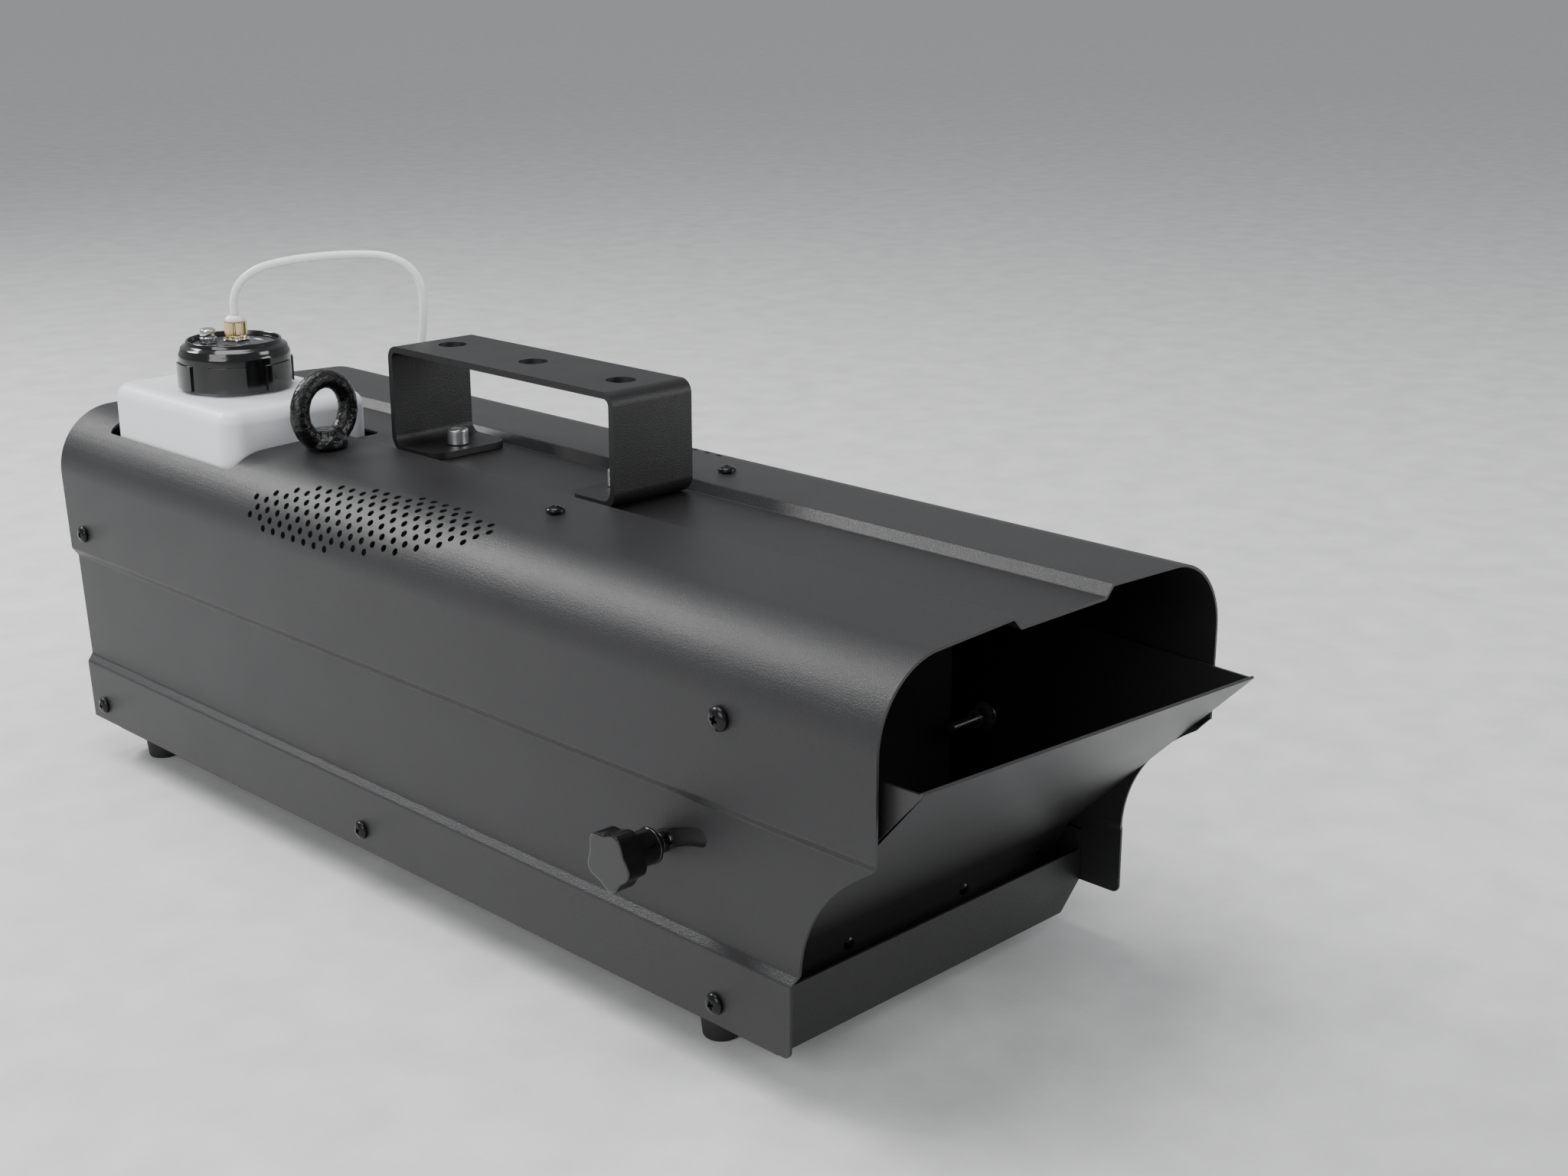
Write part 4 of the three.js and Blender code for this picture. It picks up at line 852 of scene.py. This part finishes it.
def build_flap():
    line = flap_line()
    outline = line + offset_line(line, -SHEET)[::-1]
    slices = 24
    across = [FLAP_OUT * (2 * i / slices - 1) for i in range(slices + 1)]
    flap = new_object("fog_flap", lofted([[twisted((x, *point)) for point in outline] for x in across]))
    wings = []
    for side in SIDES.values():
        low, high = sorted((side * FLAP_HALF, side * FLAP_OUT))
        points, faces = prism(wing_outline(), low, high, "yz")
        wings.append(([twisted(point) for point in points], faces))
    combine(flap, wings, "UNION")
    studs = polar(STUD_ANGLE, STUD_RADIUS)
    combine(flap, [side_hole(r, side, *place) for side in SIDES.values() for r,
                   place in ((2.4, PIVOT), (2.7, studs))])
    soften_some(flap, on_fold, 1.7, 5)
    soften(flap, 0.25)
    dress(flap, "flap", "flap_paint", ["deflector_flap"])
    tilt = Matrix.Rotation(math.pi / 2, 4, "X")
    for i, (x, z) in enumerate(((-84.5, 15), (-35, 13), (35, 13), (84.5, 15))):
        place = Matrix.Translation((x, FLAP_FOOT[0], z)) @ tilt
        screw = build_screw(f"flap_screw_{i + 1}", (2.5, 1.3, 1, 1), place, 25 * i)
        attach(screw, "flap")


def threaded_rod(r, low, high, pitch, around=20, per_turn=6):
    rings = int((high - low) / pitch * per_turn)
    points, faces = [], []
    for k in range(rings + 1):
        h = low + (high - low) * k / rings
        ease = min(1, (h - low) / pitch, (high - h) / pitch)
        for i in range(around):
            phase = (h / pitch - i / around) % 1
            depth = 0.32 * pitch * ease * abs(2 * phase - 1) + 0.3 * (1 - ease)
            angle = 2 * math.pi * i / around
            points.append(((r - depth) * math.cos(angle), (r - depth) * math.sin(angle), h))
    for k in range(rings):
        for i in range(around):
            j = (i + 1) % around
            faces.append((k * around + i, k * around + j, (k + 1) * around + j, (k + 1) * around + i))
    faces.append(tuple(range(around))[::-1])
    faces.append(tuple(rings * around + i for i in range(around)))
    return points, faces


def lobed(inset, steps=120):
    """The outline of a knob's grip, drawn in by the inset."""
    lobes, tip, valley = KNOB["lobes"], KNOB["tip"], KNOB["valley"]
    out = []
    for i in range(steps):
        angle = 2 * math.pi * i / steps
        r = (tip + valley) / 2 + (tip - valley) / 2 * math.cos(lobes * angle) - inset
        out.append((r * math.sin(angle), -r * math.cos(angle)))
    return out


def lofted(rings):
    """A closed skin through rings of points, all with the same number of points, with flat ends."""
    n = len(rings[0])
    points = [p for ring in rings for p in ring]
    faces = [tuple(range(n))[::-1], tuple(n * (len(rings) - 1) + i for i in range(n))]
    for k in range(len(rings) - 1):
        faces += [(k * n + i, k * n + (i + 1) % n, (k + 1) * n + (i + 1) % n,
                   (k + 1) * n + i) for i in range(n)]
    return points, faces


def build_clamps():
    start = MID_HALF + GAP
    grip = [(0.5, 18.6), (0.12, 18.75), (0, 19.1), (0, 27.1), (0.12, 27.5), (0.5, 27.75), (1.2, 27.8)]
    rings = [[(a, b, start + h) for a, b in lobed(inset)] for inset, h in grip]
    collar = turned([(0, start), (4.4, start), (4.6, start + 0.2), (4.6, start + 2.6), (4.2, start + 2.9),
                     (4.2, start + 3.3), (4.6, start + 3.6), (4.6, start + 6), (7.2, start + 6),
                     (7.4, start + 6.2),
                     (7.4, start + 7.0), (7.1, start + 7.3), (7, start + 19), (0, start + 19)], 64)
    y, z = polar(STUD_ANGLE, STUD_RADIUS)
    for side_name, side in SIDES.items():
        body = f"clamp_{side_name}"
        knob = new_object(f"knob_{side_name}", lofted(rings))
        soften(knob, 0)
        combine(knob, [collar], "UNION")
        combine(knob, [rod(STUD["r"] + GAP, start - 2, STUD["outer"] + GAP)])
        soften(knob, 0, angle=32)
        outwards = Matrix.Rotation(side * math.pi / 2, 4, "Y")
        middle = Matrix.Translation((0, y, z))
        set_in(knob, middle @ Matrix.Rotation(math.radians(KNOB["turn"]), 4, "X") @ outwards)
        dress(knob, body, "gloss_black_plastic", [f"clamp_knob_{side_name}"])
        stud = new_object(f"thread_{side_name}", threaded_rod(*STUD.values()))
        set_in(stud, middle @ outwards)
        soften(stud, 0, angle=50)
        dress(stud, body, "bright_steel", [f"clamp_stud_{side_name}"])
        face = FLAP_HALF - 0.3
        nut = new_object(f"flange_nut_{side_name}", turned([(0, face - 8), (4.7, face - 8), (4.7, face - 1),
                                                            (0, face - 1)], 6))
        chamfer = turned([(0, face - 9), (3.9, face - 9), (3.9, face - 8), (4.75, face - 7.4), (4.75, face),
                          (0, face)], 48)
        combine(nut, [chamfer], "INTERSECT")
        combine(nut, [turned([(0, face - 1.4), (6.1, face - 1.4), (6.3, face - 1.2), (6.3, face),
                              (0, face)], 48)],
                "UNION")
        combine(nut, [rod(2.6, face - 10, face + 2)])
        soften(nut, 0.1, 1)
        set_in(nut, middle @ outwards)
        dress(nut, "flap", "bright_steel", [f"clamp_nut_{side_name}"])


# ------------------------------------------------------------------ bottle
def bottle_ring(inset, z, corner):
    x0, y0 = BOTTLE["x0"] + inset, BOTTLE["y0"] + inset
    x1, y1 = BOTTLE["x1"] - inset, BOTTLE["y1"] - inset
    return [(x, y, z) for x, y in rounded_rect(x0, y0, x1, y1, max(corner - inset, 2.5), 10)]


def bottle_shape(wall):
    """The bottle's body, or with a wall thickness its hollow, with softly rounded edges."""
    low, high, edge = BOTTLE["z0"] + wall, BOTTLE["z1"] - wall, BOTTLE["edge"]
    rings = []
    for i in range(9):
        t = math.radians(90 * i / 8)
        rings.append((edge * (1 - math.sin(t)), low + edge * (1 - math.cos(t))))
    top = [(inset, high - (z - low)) for inset, z in reversed(rings)]
    return lofted([bottle_ring(wall + inset, z, BOTTLE["corner"]) for inset, z in rings + top])


def build_bottle():
    x, y = CAP
    bottle = new_object("fog_fluid_bottle", bottle_shape(0))
    neck = turned([(0, 172), (22.8, 172), (22.8, 179.4), (22.1, 180.2), (22, 181), (22, 196.6), (21.6, 197),
                   (0, 197)],
                  64)
    combine(bottle, [shifted(neck, x, y, 0)], "UNION")
    combine(bottle, [bottle_shape(BOTTLE["wall"]), shifted(rod(19.6, 170, 205, 64), x, y, 0)])
    soften(bottle, 0.2)
    dress(bottle, "bottle", "bottle_plastic", ["fluid_bottle"])


def build_cap():
    profile = [(22.6, 181), (26.6, 181), (27, 181.4), (26.9, 196.4), (26.7, 197.6), (26.2, 198.4),
               (26.0, 199.2),
               (25.7, 200.2), (24.9, 200.9), (23.6, 201.5), (23.2, 202.1), (22.9, 203.3), (22.5, 203.7),
               (22.1, 203.7), (21.8, 203.4), (21.5, 201.8), (20.9, 201.8), (20.9, 199.2), (22.6, 199.2)]
    cap = new_object("screw_cap", turned(profile, 96))
    panels = []
    half = 19  # degrees
    outline = arc(0, 0, 28, -half, half, 10) + arc(0, 0, 25.5, half, -half, 10)
    for i in range(6):
        turn = Matrix.Rotation(math.radians(60 * i) + CAP_TURN, 4, "Z")
        panels.append(moved(prism(outline, 181.3, 193.5, "xy"), turn))
    combine(cap, panels, "UNION")
    soften(cap, 0.45, 3, angle=32)
    set_in(cap, Matrix.Translation((*CAP, 0)))
    dress(cap, "cap", "gloss_black_plastic", ["bottle_cap"])


def knurled(r, depth, low, high, teeth):
    outline = [(rr * math.cos(a), rr * math.sin(a)) for i in range(teeth)
               for rr, a in ((r, 2 * math.pi * i / teeth), (r - depth, 2 * math.pi * (i + 0.5) / teeth))]
    return prism(outline, low, high, "xy")


def build_fittings():
    x, y = CAP
    disc = new_object("cap_disc", shifted(turned([(0, 197.3), (21.8, 197.3), (22, 197.5), (22, 198.8),
                                                  (20.6, 198.8),
                                                  (20.5, 201), (20.3, 201.2), (15.6, 201.2), (15.2, 200.8),
                                                  (0, 200.8)],
                                                 96), x, y, 0))
    combine(disc, [shifted(rod(3.3, 190, 210), *HOSE, 0), shifted(rod(2.2, 190, 210), *VENT, 0)])
    soften(disc, 0.15, 1)
    dress(disc, "bottle", "insert_plastic", ["cap_insert"])
    base = FITTING_BASE
    hexagon = turned([(0, base), (7.2, base), (7.2, base + 2.6), (0, base + 2.6)], 6)
    nut = new_object("hose_nut", shifted(hexagon, *HOSE, 0))
    chamfer = turned([(0, base - 1), (7, base - 1), (7.2, base), (7.2, base + 2), (6.6, base + 2.7),
                      (0, base + 2.7)], 48)
    combine(nut, [shifted(chamfer, *HOSE, 0)], "INTERSECT")
    combine(nut, [shifted(rod(3.6, base - 1, base + 4), *HOSE, 0)])
    soften(nut, 0.15, 1)
    dress(nut, "bottle", "bright_steel", (), "chrome")
    stem = turned([(0, 195), (3, 195), (3, 203), (4.6, 204), (4.6, 206), (5, 206.4), (0, 206.4)], 48)
    hose = new_object("hose_union", shifted(stem, *HOSE, 0))
    parts = [knurled(5.1, 0.25, base + 2.7, 205.6, 40), knurled(5.45, 0.25, 206.2, 212.1, 40)]
    combine(hose, [shifted(part, *HOSE, 0) for part in parts], "UNION")
    soften(hose, 0.12, 1)
    dress(hose, "bottle", "brass", ["hose_fitting"])
    collar = new_object("hose_collar", shifted(turned([(2.1, 212.4), (4.5, 212.4), (4.8, 212.7),
                                                       (4.8, 213.6),
                                                       (4.4, 214.4), (3.4, 215.2), (2.8, 215.5),
                                                       (2.1, 215.5)], 48),
                                               *HOSE, 0))
    soften(collar, 0)
    dress(collar, "bottle", "tube_plastic")
    vent = new_object("vent_valve", shifted(knurled(4.4, 0.35, base, base + 2.3, 20), *VENT, 0))
    cap = turned([(0, 195), (1.9, 195), (1.9, base + 2), (3.3, base + 2), (3.3, base + 2.5),
                  (3.8, base + 2.8),
                  (3.9, base + 3.2), (3.9, base + 5.4), (3.6, base + 6.3), (2.8, base + 6.8),
                  (1.4, base + 7.0), (0, base + 7.0)], 40)
    combine(vent, [shifted(cap, *VENT, 0)], "UNION")
    combine(vent, [shifted(arm, *VENT, 0) for arm in cross_recess(4.4, base + 7.0, 30)])
    soften(vent, 0.1, 1)
    dress(vent, "bottle", "bright_steel", ["vent_fitting"], "chrome")
    tube = new_object("pickup_tube", shifted(turned([(0, 12), (2, 12), (2, 194.6), (0, 194.6)]), *HOSE, 0))
    soften(tube, 0)
    dress(tube, "bottle", "tube_plastic", ["dip_tube"])


def build_grommet():
    z = FLOOR_Z
    profile = [(2.4, z - 2.6), (2.8, z - 3), (6.2, z - 3), (6.6, z - 2.6), (6.6, z - 1.6), (4.8, z - 1.5),
               (4.8, z + 0.3),
               (6.8, z + 0.3), (7.0, z + 0.7), (6.8, z + 1.6), (6.0, z + 2.7), (4.4, z + 3.9),
               (3.6, z + 5.0), (3.0, z + 5.2), (2.4, z + 5.0)]
    grommet = new_object("hose_grommet", shifted(turned(profile), *GROMMET, 0))
    soften(grommet, 0)
    dress(grommet, "chassis", "feet_rubber", ["tube_grommet"])


# ------------------------------------------------------------------ rear panel
LEAN = math.atan(REAR_LEAN)
REAR = Matrix.Translation((0, REAR_Y - 7, 0)) @ Matrix.Rotation(-LEAN, 4, "X")
SOCKET_XS, SOCKET_Z = {"dmx_input": 31, "dmx_output": 71}, 66
BUTTON_XS, BUTTON_Z = (33, 45, 57, 69), 103


def build_sockets():
    """The two round signal sockets: the input has pins, and the output holes."""
    z = SOCKET_Z
    for node, x in SOCKET_XS.items():
        is_input = node == "dmx_input"
        flange = prism(rounded_rect(x - 13, z - 14.5, x + 13, z + 14.5, 2.5), 0.3, 2.4, "xz")
        socket = new_object(f"{node}_socket", flange)
        combine(socket, [shifted(along_y(turned([(0, -18), (11.8, -18), (11.8, 2.6), (11.4, 3.0), (0, 3.0)],
                                                64), 1),
                                 x, 0, z)], "UNION")
        depth = -12 if is_input else -1
        tools = [shifted(along_y(rod(9.2, depth, 6, 64), 1), x, 0, z)]
        pins = []
        for degrees in (90, 210, 330):
            px, pz = x + 4.6 * math.cos(math.radians(degrees)), z + 4.6 * math.sin(math.radians(degrees))
            if is_input:
                pin = turned([(0, -13), (1.2, -13), (1.2, -5.6), (0.7, -5), (0, -5)])
                pins.append(shifted(along_y(pin, 1), px, 0, pz))
            else:
                tools.append(shifted(along_y(rod(1.3, -10, 4), 1), px, 0, pz))
        combine(socket, tools)
        soften(socket, 0.2)
        set_in(socket, REAR)
        dress(socket, "chassis", "matte_black_plastic", [node])
        if pins:
            contacts = new_object(f"{node}_pins", joined(*pins))
            soften(contacts, 0)
            set_in(contacts, REAR)
            dress(contacts, "chassis", "bright_steel")
        for i, (dx, dz) in enumerate(((-9.6, 11.4), (9.6, -11.4))):
            place = REAR @ Matrix.Translation((x + dx, 2.4, z + dz)) @ Matrix.Rotation(-math.pi / 2, 4, "X")
            build_screw(f"{node}_screw_{i + 1}", (2.2, 1.0, 1, 1), place, 40 * i)


def build_buttons():
    profile = [(0, -4.5), (4, -4.5), (4, -1.65), (2.9, -1.65), (2.9, 1.5), (2.6, 2.0), (2.2, 2.2),
               (1.6, 2.15), (0, 1.9)]
    for i, x in enumerate(BUTTON_XS):
        button = new_object(f"key_{i + 1}", shifted(along_y(turned(profile), 1), x, 0, BUTTON_Z))
        soften(button, 0)
        set_in(button, REAR)
        dress(button, f"button_{i + 1}", "matte_black_plastic", [f"menu_button_{i + 1}"])


# ------------------------------------------------------------------ CAD pieces that stay
KEPT = {
    "rear_panel": ("case_paint", 0.25),
    "mains_inlet": ("matte_black_plastic", 0.25),
    "power_switch_frame": ("matte_black_plastic", 0.3),
    "power_rocker": ("red_plastic", 0.3),
    "display_module": ("display_glass", 0.2),
    "tank_tray": ("inner_steel", 0.3),
    "heat_shield": ("inner_steel", 0.2),
    "fog_nozzle": ("brass", 0.2), "heater_block": ("cast_aluminium", 0.4),
    "heater_support_front": ("inner_steel", 0.2),
    "heater_support_rear": ("inner_steel", 0.2),
    "pump_body": ("matte_black_plastic", 0.5),
    "pump_plunger": ("bright_steel", 0.3),
    "feed_pipe": ("bright_steel", 0),
    "fan_frame": ("matte_black_plastic", 0.3),
    "fan_rotor": ("matte_black_plastic", 0.2),
    "control_board": ("circuit_board", 0.2),
}


def finish_kept_nodes():
    for node, (material, width) in KEPT.items():
        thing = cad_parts[node]
        for place in thing.material_slots:
            place.material = MATERIALS[material]
        if width:
            bevel = thing.modifiers.new("edges", "BEVEL")
            bevel.width, bevel.segments = width * MM, 2
            bevel.limit_method, bevel.angle_limit = "ANGLE", math.radians(35)
        thing.modifiers.new("normals", "WEIGHTED_NORMAL").keep_sharp = True


# ------------------------------------------------------------------ the whole scene
add_camera()
build_tube()
build_cover()
build_tray()
build_feet()
build_case_screws()
build_bracket()
build_bracket_screws()
build_eye_bolt()
build_flap()
build_clamps()
build_bottle()
build_cap()
build_fittings()
build_grommet()
build_sockets()
build_buttons()
finish_kept_nodes()
add_stage()
